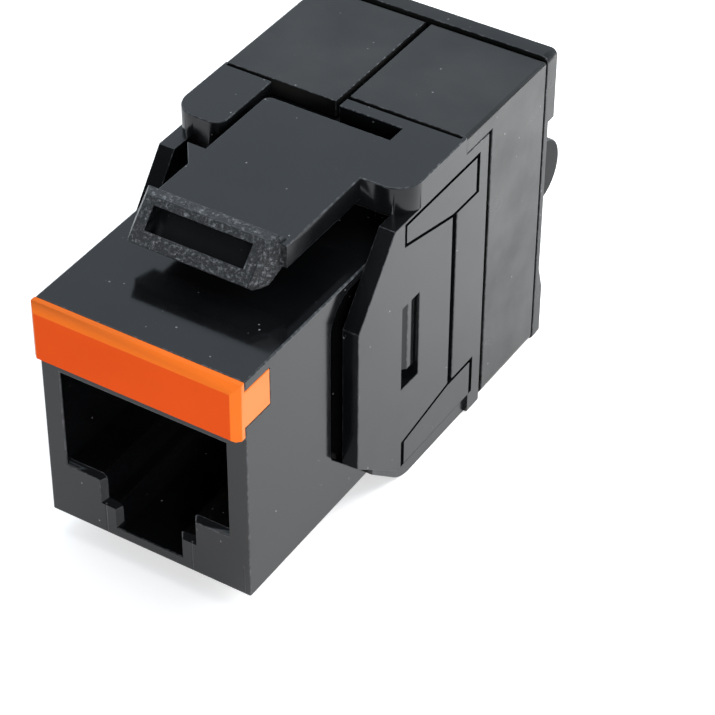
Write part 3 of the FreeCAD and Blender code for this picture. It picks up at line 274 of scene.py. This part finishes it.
# %% A recipe for moulded plastic
PLASTIC_IOR = 1.5
DRIFT_MARKS, DRIFT_SPAN = 180, (0.35, 0.65)
SMEAR_MARKS, SMEAR_SPAN = 320, (0.3, 0.7)
FINE_BREAKUP = 0.55
FINE_RELIEF = 0.02 * MM


def moulded_plastic(
    name, colour, drift, gloss, unevenness, grain, grain_marks, specks=0.0, lines=(), mirroring=0.5
):
    """Moulded plastic: drifting colour, uneven gloss, fine grain and dust, and any part lines."""
    material, tree, shader, place = new_material(name)
    drifting = remap(tree, add_noise(tree, place, DRIFT_MARKS, detail=3), *DRIFT_SPAN, 0, 1)
    tone = mix_colour(tree, drifting, colour, drift)
    if specks:
        tone = mix_colour(tree, dust_specks(tree, place, specks), tone, DUST_COLOUR)
    tree.links.new(tone, shader.inputs["Base Color"])
    smear = add_noise(tree, place, SMEAR_MARKS, detail=3, roughness=FINE_BREAKUP)
    uneven_gloss = remap(tree, smear, *SMEAR_SPAN, gloss - unevenness, gloss + unevenness)
    tree.links.new(uneven_gloss, shader.inputs["Roughness"])
    fine = add_noise(tree, place, grain_marks, detail=3, roughness=FINE_BREAKUP)
    add_bump(tree, shader, fine, grain, FINE_RELIEF)
    for line in lines:
        add_part_line(tree, shader, place, line)
    set_inputs(shader, {"IOR": PLASTIC_IOR, "Specular IOR Level": mirroring})
    return material


print("refractive index of the plastic:", PLASTIC_IOR)

# %% [markdown]
# Each black piece then takes one row of numbers. The nose is the glossiest and mirrors the
# tongue's edge crisply. The doors and the cap are duller, and the cap's finger pads hardly
# mirror at all. The inner pieces are nearly matt, as nobody polishes a mould for hidden faces.

# %% The black plastics
housing_plastic = moulded_plastic(
    "housing_plastic", (0.0028, 0.0031, 0.0036), (0.0052, 0.0055, 0.0060),
    gloss=0.11, unevenness=0.03, grain=0.04, grain_marks=5000, specks=0.6, lines=FACE_LINES,
)
frame_plastic = moulded_plastic(
    "frame_plastic", (0.0030, 0.0033, 0.0038), (0.0056, 0.0060, 0.0066),
    gloss=0.21, unevenness=0.05, grain=0.06, grain_marks=6000, specks=0.6,
)
door_plastic = moulded_plastic(
    "door_plastic", (0.0046, 0.0047, 0.0046), (0.0170, 0.0166, 0.0156),
    gloss=0.33, unevenness=0.07, grain=0.08, grain_marks=7000, specks=0.6,
)
cap_plastic = moulded_plastic(
    "cap_plastic", (0.0040, 0.0044, 0.0042), (0.0100, 0.0104, 0.0098),
    gloss=0.30, unevenness=0.05, grain=0.08, grain_marks=7000, specks=0.5, mirroring=0.36,
)
pad_plastic = moulded_plastic(
    "pad_plastic", (0.0022, 0.0029, 0.0027), (0.0034, 0.0044, 0.0041),
    gloss=0.34, unevenness=0.04, grain=0.08, grain_marks=7000, specks=0.5, mirroring=0.06,
)
inner_plastic = moulded_plastic(
    "inner_plastic", (0.0040, 0.0040, 0.0042), (0.0056, 0.0056, 0.0060),
    gloss=0.45, unevenness=0.04, grain=0.2, grain_marks=8000,
)
print("plastics:", [m.name for m in bpy.data.materials if "plastic" in m.name])

# %% [markdown]
# The grip is meant for a fingernail, so its mould was spark eroded: the plastic copies a
# coarse random grain that glitters. Strong relief with marks about a fifth of a millimetre
# apart does it, with the grain's high points painted paler as painted glints, and the gloss
# varies from grain to grain.

# %% Grained plastic for the grip, with painted glints
PAINTED_GLINT_SPAN, GLINT_SPAN = (0.50, 0.68), (0.35, 0.7)
GLINT_SWING = 0.1
GRAIN_STRENGTH = 0.9


def grained_plastic_with_glints(name, colour, pale, gloss, grain_marks, depth):
    """Spark-eroded plastic: coarse relief whose high points are painted paler as painted glints."""
    material, tree, shader, place = new_material(name)
    coarse = add_noise(tree, place, grain_marks, detail=4, roughness=0.70)
    # The grain's high points are painted paler: painted glints.
    painted_glints = remap(tree, coarse, *PAINTED_GLINT_SPAN, 0, 1, smooth=True)
    tree.links.new(mix_colour(tree, painted_glints, colour, pale), shader.inputs["Base Color"])
    glints = remap(tree, coarse, *GLINT_SPAN, gloss + GLINT_SWING, gloss - GLINT_SWING)
    tree.links.new(glints, shader.inputs["Roughness"])
    add_bump(tree, shader, coarse, GRAIN_STRENGTH, depth)
    set_inputs(shader, {"IOR": PLASTIC_IOR})
    return material


grip_grain_and_glints = grained_plastic_with_glints(
    "grip_grain_and_glints", (0.014, 0.0145, 0.0155), (0.165, 0.171, 0.181),
    gloss=0.30, grain_marks=4600, depth=0.2 * MM,
)
print("grained finish:", grip_grain_and_glints.name)

# %% [markdown]
# Handling wears the corners first, and a rounded edge catches a thin highlight. Each rounded
# edge gets its own finish, a broken pale line that is partly wear and partly a painted
# highlight: the same black, with lighter dashes where noise along the edge is high. The Bevel
# modifier can give its new faces a material of their own, so no mask has to find the edges.

# %% Rubbed edges, with painted highlights
RUB_AND_HIGHLIGHT_SPAN = (0.44, 0.70)
RUB_DULLS = 0.15
RUB_RELIEF = 0.15


def worn_and_highlit_edge(name, colour, pale, gloss, rub_and_highlight_marks, grain_marks):
    """The plastic of a rounded edge, with pale broken dashes: partly wear, partly a painted
    highlight.
    """
    material, tree, shader, place = new_material(name)
    broken = add_noise(tree, place, rub_and_highlight_marks, detail=5, roughness=0.7)
    # Pale broken dashes on the rounded edge: partly wear, partly a painted highlight.
    rub_and_highlight_mask = remap(tree, broken, *RUB_AND_HIGHLIGHT_SPAN, 0, 1, smooth=True)
    tree.links.new(mix_colour(tree, rub_and_highlight_mask, colour, pale), shader.inputs["Base Color"])
    tree.links.new(remap(tree, rub_and_highlight_mask, 0, 1, gloss, gloss + RUB_DULLS), shader.inputs["Roughness"])
    add_bump(tree, shader, add_noise(tree, place, grain_marks, detail=2), RUB_RELIEF, FINE_RELIEF)
    set_inputs(shader, {"IOR": PLASTIC_IOR})
    return material


edge_wear_and_highlight = worn_and_highlit_edge(
    "edge_wear_and_highlight", (0.010, 0.011, 0.012), (0.090, 0.093, 0.100),
    gloss=0.28, rub_and_highlight_marks=2600, grain_marks=9000,
)
print("rubbed edge:", edge_wear_and_highlight.name)

# %% [markdown]
# The colour clip is dyed right through in a deep orange, with a satin face. Its bevelled
# rim gets a brighter orange as a painted highlight, and its thin arms a paler one as painted
# light on their lit sides. So the clip has three shades of one recipe: its own orange and two
# lit copies of it. It mirrors little, or the white studio would wash its colour out.

# %% Orange plastic, with painted highlight and painted light
CLIP_SHADES = {
    "clip_plastic": ((0.80, 0.080, 0.004), (0.84, 0.087, 0.005), 0.42),
    # The second shade paints a highlight on the rim, and the third paints light on the lit arms.
    "clip_rim_painted_highlight": ((0.86, 0.165, 0.018), (0.90, 0.180, 0.021), 0.40),
    "clip_arm_painted_light": ((0.72, 0.215, 0.064), (0.76, 0.235, 0.074), 0.42),
}
clip_finishes = tuple(
    moulded_plastic(name, *shade, unevenness=0.03, grain=0.05, grain_marks=5000, mirroring=0.06)
    for name, shade in CLIP_SHADES.items()
)
print("clip finishes:", [finish.name for finish in clip_finishes])

# %% [markdown]
# The small metal parts sit in shadow inside the port, yet they catch the light. Contacts are
# gold plated and blades tinned, both drawn from strip, so their gloss is streaked along
# the strip: noise that is squeezed across it does that. The circuit board is green glass
# fibre under a glossy resist, for which the recipe for moulded plastic serves.

# %% Metals and circuit board
STREAK_SPAN = (0.3, 0.7)
STREAK_SHINES, STREAK_DULLS = 0.06, 0.1
STREAK_TONE = 0.86


def drawn_metal(name, colour, gloss, marks):
    """Plated strip with fine streaks along its length; the marks are per metre on each axis."""
    material, tree, shader, place = new_material(name)
    stretch = tree.nodes.new("ShaderNodeMapping")
    set_inputs(stretch, {"Scale": marks})
    tree.links.new(place, stretch.inputs["Vector"])
    streaks = add_noise(tree, stretch.outputs["Vector"], 1, detail=4)
    uneven_gloss = remap(tree, streaks, *STREAK_SPAN, gloss - STREAK_SHINES, gloss + STREAK_DULLS)
    tree.links.new(uneven_gloss, shader.inputs["Roughness"])
    tone = mix_colour(tree, streaks, colour, tuple(c * STREAK_TONE for c in colour))
    tree.links.new(tone, shader.inputs["Base Color"])
    set_inputs(shader, {"Metallic": 1.0})
    return material


contact_gold = drawn_metal("contact_gold", (0.83, 0.60, 0.27), gloss=0.28, marks=(9000, 900, 900))
blade_tin = drawn_metal("blade_tin", (0.72, 0.72, 0.71), gloss=0.34, marks=(5000, 5000, 700))
board_resist = moulded_plastic(
    "board_resist", (0.016, 0.12, 0.05), (0.024, 0.15, 0.065),
    gloss=0.3, unevenness=0.04, grain=0.3, grain_marks=3000,
)
print("metals:", contact_gold.name, blade_tin.name)

# %% [markdown]
# CAD solids have perfectly sharp edges, and real mouldings never do: a mould's corners leave
# a radius of a tenth of a millimetre or so, which catches the light as a thin line. Not every
# edge should get it. Those in the port and along narrow part lines stay crisp, as no hand
# rubs them. To tell them, faces that meet smoothly are gathered into one surface, whose area
# and rim give its breadth. Broad surfaces get the radius in full and narrower ones less.

# %% Find the edges that hands touch
SHARP = math.radians(30)
NARROW = 0.42 * MM
FULL_BREADTH = 1.6 * MM
PORT_LOW, PORT_HIGH = (-7.0, 0.4, 0.3), (7.0, 27.0, 16.3)


def breadths(work):
    """How broad the smooth surface is that each face belongs to."""
    breadth = {}
    for first in work.faces:
        if first in breadth:
            continue
        group, waiting = {first}, [first]
        while waiting:
            for edge in waiting.pop().edges:
                if edge.calc_face_angle(math.pi) < SHARP:
                    fresh = [face for face in edge.link_faces if face not in group]
                    group.update(fresh)
                    waiting.extend(fresh)
        area = sum(face.calc_area() for face in group)
        border = [e for face in group for e in face.edges if e.calc_face_angle(math.pi) >= SHARP]
        rim = sum(edge.calc_length() for edge in border)
        for face in group:
            breadth[face] = 2 * area / max(rim, MM)
    return breadth


def edge_weight(edge, breadth, node):
    """How much of the radius an edge gets: none if it is hidden, hollow or on a narrow face."""
    if len(edge.link_faces) != 2 or edge.calc_face_angle_signed(0) < SHARP:
        return 0.0
    narrowest = min(breadth[face] for face in edge.link_faces)
    middle = (edge.verts[0].co + edge.verts[1].co) / 2 / MM
    in_port = all(low < here < high for low, here, high in zip(PORT_LOW, middle, PORT_HIGH))
    if narrowest < NARROW or (in_port and node == "jack_housing"):
        return 0.0
    return min(1.0, narrowest / FULL_BREADTH)


print("full radius from a breadth of mm:", round(FULL_BREADTH / MM, 2))

# %% [markdown]
# A copy of each piece is welded and its flat faces are joined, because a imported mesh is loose
# triangles. Then a Bevel modifier rounds the chosen edges by their weight. Its clamp is off,
# as one tiny edge would hold every radius down. Weighted normals keep the large faces flat,
# and sharp edges that aren't rounded are marked, so that no shading runs across them.

# %% Round one piece
WELD = 0.002 * MM
FLAT = math.radians(0.5)


def rounded_copy(name, node, finishes, radius, pick=None):
    """A welded copy of a CAD piece with its sharp edges rounded, standing for that piece."""
    mesh = nodes[node].data.copy()
    mesh.name = name
    piece = bpy.data.objects.new(name, mesh)
    bpy.context.scene.collection.objects.link(piece)
    mesh.materials.clear()
    for finish in finishes:
        mesh.materials.append(finish)
    work = bmesh.new()
    work.from_mesh(mesh)
    bmesh.ops.remove_doubles(work, verts=work.verts, dist=WELD)
    bmesh.ops.dissolve_limit(work, angle_limit=FLAT, verts=work.verts, edges=work.edges)
    for face in work.faces:
        face.smooth = True
        face.material_index = pick(face) if pick else 0
    amount = work.edges.layers.float.new("bevel_weight_edge")
    breadth = breadths(work)
    for edge in work.edges:
        edge[amount] = edge_weight(edge, breadth, node)
        edge.smooth = edge[amount] > 0 or edge.calc_face_angle(0) < SHARP
    work.to_mesh(mesh)
    work.free()
    bevel = piece.modifiers.new("edge_radius", "BEVEL")
    bevel.width = radius * MM
    bevel.segments = 2
    bevel.limit_method = "WEIGHT"
    bevel.use_clamp_overlap = False
    bevel.material = 1
    weighted = piece.modifiers.new("flat_faces", "WEIGHTED_NORMAL")
    weighted.weight = 100
    weighted.keep_sharp = True
    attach(piece, body_of[node])
    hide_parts(node)
    return piece


print("weld distance in mm:", WELD / MM)

# %% [markdown]
# Three pieces have more than one finish. The tongue's grip is grained with painted glints,
# but not its smooth finger pocket. The clip's front is deep orange, its rim brighter with a
# painted highlight and its arms paler with painted light. The cap's finger pads are duller
# than its plate. Each is told by where a face lies, and the number is the finish's place in
# the piece's list, whose second one is the rounded edge's.

# %% Which finish a face takes
GRIP_BACK, GRIP_FLOOR = 7.9, 17.0
POCKET_HALF, POCKET_FRONT, POCKET_FLOOR = 3.5, 5.5, 18.5
ARMS_FRONT = 0.2
PADS_FRONT = 33.8
FACES_AHEAD = -0.95


def in_pocket(place):
    """Whether a place in mm lies in the finger pocket."""
    return abs(place.x) < POCKET_HALF and place.y > POCKET_FRONT and place.z > POCKET_FLOOR


def grip_or_frame(face):
    """The grained finish for the tongue's grip, outside its smooth finger pocket."""
    middle = face.calc_center_median() / MM
    on_grip = middle.y < GRIP_BACK and middle.z > GRIP_FLOOR
    return 2 if on_grip and not all(in_pocket(v.co / MM) for v in face.verts) else 0


def part_of_clip(face):
    """The shade with a painted highlight for the clip's rim, and the one with painted light for its
    arms.
    """
    if face.calc_center_median().y > ARMS_FRONT * MM:
        return 2
    return 0 if face.normal.y < FACES_AHEAD else 1


def pad_or_plate(face):
    """The duller finish for the cap's finger pads, which stand behind its plate."""
    return 2 if face.calc_center_median().y > PADS_FRONT * MM else 0


print("finishes told by place: grip, clip, cap")

# %% [markdown]
# With the recipe ready, each outer piece is one row: the copy's name, the CAD piece it stands
# for, its finishes, its edge radius in mm and the rule that picks a finish. The corner of the
# nose is measured afterwards, to see that the radius arrived.

# %% The rounded outer pieces
SHELLS = (
    ("nose_shell", "jack_housing", (housing_plastic, edge_wear_and_highlight), 0.12),
    ("latch_shell", "latch_frame", (frame_plastic, edge_wear_and_highlight, grip_grain_and_glints), 0.09, grip_or_frame),
    ("clip_shell", "colour_clip", clip_finishes, 0.12, part_of_clip),
    ("right_leaf_shell", "right_door", (door_plastic, edge_wear_and_highlight), 0.08),
    ("left_leaf_shell", "left_door", (door_plastic, edge_wear_and_highlight), 0.08),
    ("cap_shell", "rear_cap", (cap_plastic, edge_wear_and_highlight, pad_plastic), 0.10, pad_or_plate),
)
NOSE_CORNER = Vector((-7.3, 0, 0)) * MM

shells = [rounded_copy(*row) for row in SHELLS]
graph = bpy.context.evaluated_depsgraph_get()
for piece in shells:
    rounded = piece.evaluated_get(graph).to_mesh()
    print(piece.name, "faces:", len(piece.data.polygons), "rounded:", len(rounded.polygons))
    if piece.name == "nose_shell":
        gap = min((vertex.co - NOSE_CORNER).length for vertex in rounded.vertices)
        print("corner rounded by mm:", round(gap / MM, 3))
    piece.evaluated_get(graph).to_mesh_clear()

# %% [markdown]
# The comb, the terminal block and the circuit board are hidden by the rest until a door
# opens. They keep their CAD shapes, and only take a finish.

# %% Finish the inner pieces
INNER_FINISHES = {
    "contact_comb": inner_plastic,
    "terminal_block": inner_plastic,
    "circuit_board": board_resist,
}
for name, finish in INNER_FINISHES.items():
    mesh = nodes[name].data
    mesh.materials.clear()
    mesh.materials.append(finish)
print("finished inner nodes:", list(INNER_FINISHES))

# %% [markdown]
# Eight contacts and eight blades repeat, so Geometry Nodes make them. The helpers below add a
# node in one line, give a tree named inputs for its sizes, and end it. At the end a row is
# frozen to one plain mesh, because an export would drop the copies.

# %% Helpers for rows of repeated parts
def joined(tree, kind, links, **settings):
    """A new node with its settings and its incoming links."""
    node = tree.nodes.new(kind)
    for label, setting in settings.items():
        setattr(node, label, setting)
    for socket, source in links.items():
        if hasattr(source, "links"):
            tree.links.new(source, node.inputs[socket])
        else:
            node.inputs[socket].default_value = source
    return node


def new_tree(name, sizes):
    """A geometry tree with one named number input for each size, and those inputs' identifiers."""
    tree = bpy.data.node_groups.new(name, "GeometryNodeTree")
    tree.interface.new_socket("Geometry", in_out="INPUT", socket_type="NodeSocketGeometry")
    identifiers = {}
    for label, size in sizes.items():
        kind = "NodeSocketInt" if isinstance(size, int) else "NodeSocketFloat"
        socket = tree.interface.new_socket(label, in_out="INPUT", socket_type=kind)
        identifiers[label] = socket.identifier
    tree.interface.new_socket("Geometry", in_out="OUTPUT", socket_type="NodeSocketGeometry")
    return tree, identifiers, tree.nodes.new("NodeGroupInput").outputs


def end_tree(tree, copies, finish):
    """Ends a tree: its copies are made real, painted and handed out."""
    real = joined(tree, "GeometryNodeRealizeInstances", {"Geometry": copies})
    painted = joined(
        tree, "GeometryNodeSetMaterial", {"Geometry": real.outputs["Geometry"], "Material": finish}
    )
    end = tree.nodes.new("NodeGroupOutput")
    tree.links.new(painted.outputs["Geometry"], end.inputs["Geometry"])


def frozen_row(name, pattern, tree, identifiers, sizes, replaced):
    """Runs a tree on a pattern mesh and keeps the result as one plain mesh."""
    source = bpy.data.objects.new(f"{name}_pattern", pattern)
    bpy.context.scene.collection.objects.link(source)
    modifier = source.modifiers.new("row", "NODES")
    modifier.node_group = tree
    for label, size in sizes.items():
        modifier[identifiers[label]] = size
    bpy.context.view_layer.update()
    graph = bpy.context.evaluated_depsgraph_get()
    mesh = bpy.data.meshes.new_from_object(source.evaluated_get(graph), depsgraph=graph)
    bpy.data.objects.remove(source)
    mesh.name = name
    piece = bpy.data.objects.new(name, mesh)
    bpy.context.scene.collection.objects.link(piece)
    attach(piece, body_of[replaced[0]])
    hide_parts(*replaced)
    print(name, "faces:", len(mesh.polygons), "for", len(replaced), "nodes")


print("row helpers ready")

# %% [markdown]
# A contact is one thin square strip: it runs forward over the comb, turns back sharply and
# slants down into the port, where the plug presses on it. Its pattern is only that bent line.
# The pitch, the width and the top are measured on the CAD contacts.

# %% One contact's line
contact_nodes = [f"contact_{number}" for number in range(1, 9)]
contact_low, contact_high = node_box("contact_1")
CONTACT_PITCH = node_box("contact_2")[0].x - contact_low.x
CONTACT_WIDTH = contact_high.x - contact_low.x
CONTACT_TOP = contact_high.z - CONTACT_WIDTH / 2
FRONT_BEND, UNDER_BEND = 4.5, (4.55, 13.0)
CONTACT_TIP = (13.05, 8.95)

contact_x = contact_low.x + CONTACT_WIDTH / 2
bends = ((contact_high.y, CONTACT_TOP), (FRONT_BEND, CONTACT_TOP), UNDER_BEND, CONTACT_TIP)
contact_line = bpy.data.meshes.new("contact_line")
contact_line.from_pydata(
    [(contact_x * MM, y * MM, z * MM) for y, z in bends], [(0, 1), (1, 2), (2, 3)], []
)
print("contact pitch and width in mm:", round(CONTACT_PITCH, 3), round(CONTACT_WIDTH, 3))

# %% [markdown]
# The tree turns the line into a curve, rounds its bends, sweeps a small square with eased
# corners along it, and repeats the result along a row of points.

# %% The row of contacts
BEND_POINTS = 3
STRIP_CORNER, CORNER_POINTS = 0.07 * MM, 2
contact_sizes = {
    "Pitch": CONTACT_PITCH * MM,
    "Width": CONTACT_WIDTH * MM,
    "Bend": 0.16 * MM,
    "Count": len(contact_nodes),
}

tree, contact_ids, start = new_tree("contact_row", contact_sizes)
line = joined(tree, "GeometryNodeMeshToCurve", {"Mesh": start["Geometry"]})
bent = joined(
    tree,
    "GeometryNodeFilletCurve",
    {"Curve": line.outputs[0], "Radius": start["Bend"], "Count": BEND_POINTS, "Limit Radius": True},
    mode="POLY",
)
strip = joined(
    tree,
    "GeometryNodeCurvePrimitiveQuadrilateral",
    {"Width": start["Width"], "Height": start["Width"]},
)
soft_strip = joined(
    tree,
    "GeometryNodeFilletCurve",
    {"Curve": strip.outputs["Curve"], "Radius": STRIP_CORNER, "Count": CORNER_POINTS},
    mode="POLY",
)
wire = joined(
    tree,
    "GeometryNodeCurveToMesh",
    {"Curve": bent.outputs[0], "Profile Curve": soft_strip.outputs[0], "Fill Caps": True},
)
step = joined(tree, "ShaderNodeCombineXYZ", {"X": start["Pitch"]})
spots = joined(
    tree,
    "GeometryNodeMeshLine",
    {"Count": start["Count"], "Offset": step.outputs["Vector"]},
    mode="OFFSET",
)
row = joined(
    tree,
    "GeometryNodeInstanceOnPoints",
    {"Points": spots.outputs["Mesh"], "Instance": wire.outputs["Mesh"]},
)
end_tree(tree, row.outputs["Instances"], contact_gold)
frozen_row("contact_row", contact_line, tree, contact_ids, contact_sizes, contact_nodes)

# %% [markdown]
# The blades that bite the wires stand in two columns of four. One blade is a flat fork with
# a narrow slot, a lead-in that guides the wire, and a tail to the board. Its pattern is an
# outline with a thickness, measured on the CAD blade where it has a face to measure. Where
# two faces meet at more than half a radian the edge is eased, as stamping leaves it.

# %% One blade
blade_nodes = [f"terminal_blade_{number}" for number in range(1, 9)]
blade_low, blade_high = node_box("terminal_blade_1")
ROOT, TIP, BACK = blade_low.x, blade_high.x, blade_high.y
BLADE_HALF = (blade_high.z - blade_low.z) / 2
BLADE_THICK = 0.4
SLOT_HALF, SLOT_DEEP = 0.17, 1.1
MOUTH_HALF, MOUTH_DEEP = 0.4, 0.4
TAIL_HALF, TAIL_WIDE, TAIL_OVERLAP = 0.35, 0.4, 0.05
STAMPED_EDGE, STAMPED_CORNER = 0.03 * MM, 0.5

upper_half = (
    (TIP - SLOT_DEEP, SLOT_HALF), (TIP - MOUTH_DEEP, SLOT_HALF),
    (TIP, MOUTH_HALF), (TIP, BLADE_HALF), (ROOT, BLADE_HALF),
)
fork_outline = [(x, -z) for x, z in reversed(upper_half)] + list(upper_half)
tail_outline = (
    (ROOT, -TAIL_HALF), (ROOT + TAIL_WIDE, -TAIL_HALF),
    (ROOT + TAIL_WIDE, TAIL_HALF), (ROOT, TAIL_HALF),
)


def add_plate(work, corners, front, back):
    """A flat plate with an outline in X and Z, between two depths, all in mm."""
    base = work.faces.new([work.verts.new((x * MM, front * MM, z * MM)) for x, z in corners])
    raised = bmesh.ops.extrude_face_region(work, geom=[base])
    moved = [v for v in raised["geom"] if isinstance(v, bmesh.types.BMVert)]
    bmesh.ops.translate(work, verts=moved, vec=(0, (back - front) * MM, 0))


blade_work = bmesh.new()
add_plate(blade_work, fork_outline, BACK - BLADE_THICK, BACK)
add_plate(blade_work, tail_outline, blade_low.y, BACK - BLADE_THICK + TAIL_OVERLAP)
bmesh.ops.recalc_face_normals(blade_work, faces=blade_work.faces)
edges = [e for e in blade_work.edges if len(e.link_faces) == 2]
corners = [e for e in edges if e.calc_face_angle(0) > STAMPED_CORNER]
bmesh.ops.bevel(blade_work, geom=corners, offset=STAMPED_EDGE, segments=1, affect="EDGES")
blade_pattern = bpy.data.meshes.new("blade_pattern")
blade_work.to_mesh(blade_pattern)
blade_work.free()
print("one blade, faces:", len(blade_pattern.polygons))

# %% [markdown]
# A second tree repeats the blade up the block, and turns a copy of the column half round for
# the other side.

# %% The columns of blades
blade_sizes = {
    "First": (blade_low.z + blade_high.z) / 2 * MM,
    "Pitch": (node_box("terminal_blade_2")[0].z - blade_low.z) * MM,
    "Count": len(blade_nodes) // 2,
}

tree, blade_ids, start = new_tree("blade_columns", blade_sizes)
foot = joined(tree, "ShaderNodeCombineXYZ", {"Z": start["First"]})
step = joined(tree, "ShaderNodeCombineXYZ", {"Z": start["Pitch"]})
spots = joined(
    tree,
    "GeometryNodeMeshLine",
    {"Count": start["Count"], "Start Location": foot.outputs[0], "Offset": step.outputs[0]},
    mode="OFFSET",
)
both = tree.nodes.new("GeometryNodeJoinGeometry")
for turn in (0.0, math.pi):
    column = joined(
        tree,
        "GeometryNodeInstanceOnPoints",
        {"Points": spots.outputs[0], "Instance": start["Geometry"], "Rotation": (0.0, turn, 0.0)},
    )
    tree.links.new(column.outputs["Instances"], both.inputs["Geometry"])
end_tree(tree, both.outputs["Geometry"], blade_tin)
frozen_row("blade_columns", blade_pattern, tree, blade_ids, blade_sizes, blade_nodes)

# %% [markdown]
# A product shot stands on white. The floor is a pale grey that takes the jack's soft shadow,
# and for the camera and for reflections alone it glows a little, up to plain white, so that
# no extra light has to fall on the jack.

# %% White floor
FLOOR_HALF = 1.5
FLOOR_COLOUR = (0.80, 0.79, 0.78, 1)
MIRRORED_GLOW, SEEN_GLOW = 0.25, 0.50

floor_level = cad_box[0][2]
floor_corners = ((-1, -1), (1, -1), (1, 1), (-1, 1))
floor_mesh = bpy.data.meshes.new("floor")
floor_mesh.from_pydata(
    [(x * FLOOR_HALF, y * FLOOR_HALF, floor_level) for x, y in floor_corners], [], [(0, 1, 2, 3)]
)
floor = bpy.data.objects.new("floor", floor_mesh)
bpy.context.scene.collection.objects.link(floor)
floor_paint, floor_tree, floor_shader, _ = new_material("floor_paint")
set_inputs(
    floor_shader,
    {
        "Base Color": FLOOR_COLOUR,
        "Roughness": 0.9,
        "Specular IOR Level": 0.0,
        "Emission Color": (1, 1, 1, 1),
    },
)
rays = floor_tree.nodes.new("ShaderNodeLightPath").outputs
mirrored = combine(floor_tree, "MAXIMUM", rays["Is Glossy Ray"], rays["Is Transmission Ray"])
mirrored_glow = combine(floor_tree, "MULTIPLY", mirrored, MIRRORED_GLOW)
seen_glow = combine(floor_tree, "MULTIPLY", rays["Is Camera Ray"], SEEN_GLOW)
glow = combine(floor_tree, "ADD", mirrored_glow, seen_glow)
floor_tree.links.new(glow, floor_shader.inputs["Emission Strength"])
floor_mesh.materials.append(floor_paint)
print("floor at mm:", round(floor_level / MM, 2))

# %% [markdown]
# The studio around the jack is a slightly cool white above, behind and beside it, and dim in
# front, where the photographer stands: that keeps the grip's pocket and the ears' fronts
# dark. The camera alone sees the surround as pure white, past the floor's far edge.

# %% Studio surround
AROUND, IN_FRONT = (0.86, 0.97, 1.08), (0.09, 0.10, 0.11)
FRONT_STARTS, FRONT_FULL = -0.15, -0.55
SURROUND_STRENGTH = 0.90

world = bpy.data.worlds.new("studio")
bpy.context.scene.world = world
world.use_nodes = True
sky = world.node_tree
surround = sky.nodes["Background"]
direction = sky.nodes.new("ShaderNodeTexCoord").outputs["Generated"]
depth = sky.nodes.new("ShaderNodeSeparateXYZ")
sky.links.new(direction, depth.inputs["Vector"])
frontness = remap(sky, depth.outputs["Y"], FRONT_STARTS, FRONT_FULL, 0, 1, smooth=True)
sky.links.new(mix_colour(sky, frontness, AROUND, IN_FRONT), surround.inputs["Color"])
set_inputs(surround, {"Strength": SURROUND_STRENGTH})
backdrop = sky.nodes.new("ShaderNodeBackground")
set_inputs(backdrop, {"Color": (1, 1, 1, 1), "Strength": 1.0})
chosen = sky.nodes.new("ShaderNodeMixShader")
seen = sky.nodes.new("ShaderNodeLightPath").outputs["Is Camera Ray"]
for source, socket in zip((seen, surround.outputs[0], backdrop.outputs[0]), chosen.inputs):
    sky.links.new(source, socket)
sky.links.new(chosen.outputs[0], sky.nodes["World Output"].inputs["Surface"])
print("surround strength:", SURROUND_STRENGTH)

# %% [markdown]
# Black plastic's faces are told apart by what they reflect. A soft lamp behind on the right
# brightens the floor that the doors' side mirrors, one above gives the shadows a direction,
# and one in front lifts the clip. The first and the last stay out of the mirrored picture,
# or from behind and from the left they would burn white patches into the glossy tops.

# %% Soft lamps
JACK_MIDDLE = (0, 17, 9)
LAMPS = (
    {"name": "right_box", "place": (65, 95, 45), "aim": (16, 42, 0), "size": 40, "power": 0.12,
     "mirrored": False},
    {"name": "top_box", "place": (-50, 20, 550), "aim": JACK_MIDDLE, "size": 300, "power": 0.7,
     "mirrored": True},
    {"name": "front_box", "place": (350, -420, 200), "aim": JACK_MIDDLE, "size": 200, "power": 1.9,
     "mirrored": False},
)


def soft_lamp(name, place, aim, size, power, mirrored):
    """A square area lamp in watts that faces a point; places and sizes are in mm."""
    light = bpy.data.lights.new(name, "AREA")
    light.shape = "SQUARE"
    light.size = size * MM
    light.energy = power
    lamp = bpy.data.objects.new(name, light)
    bpy.context.scene.collection.objects.link(lamp)
    lamp.visible_camera = False
    lamp.visible_glossy = mirrored
    lamp.location = Vector(place) * MM
    lamp.rotation_euler = (Vector(aim) - Vector(place)).to_track_quat("-Z", "Y").to_euler()


for lamp_row in LAMPS:
    soft_lamp(**lamp_row)
bpy.context.scene.view_settings.view_transform = "Standard"
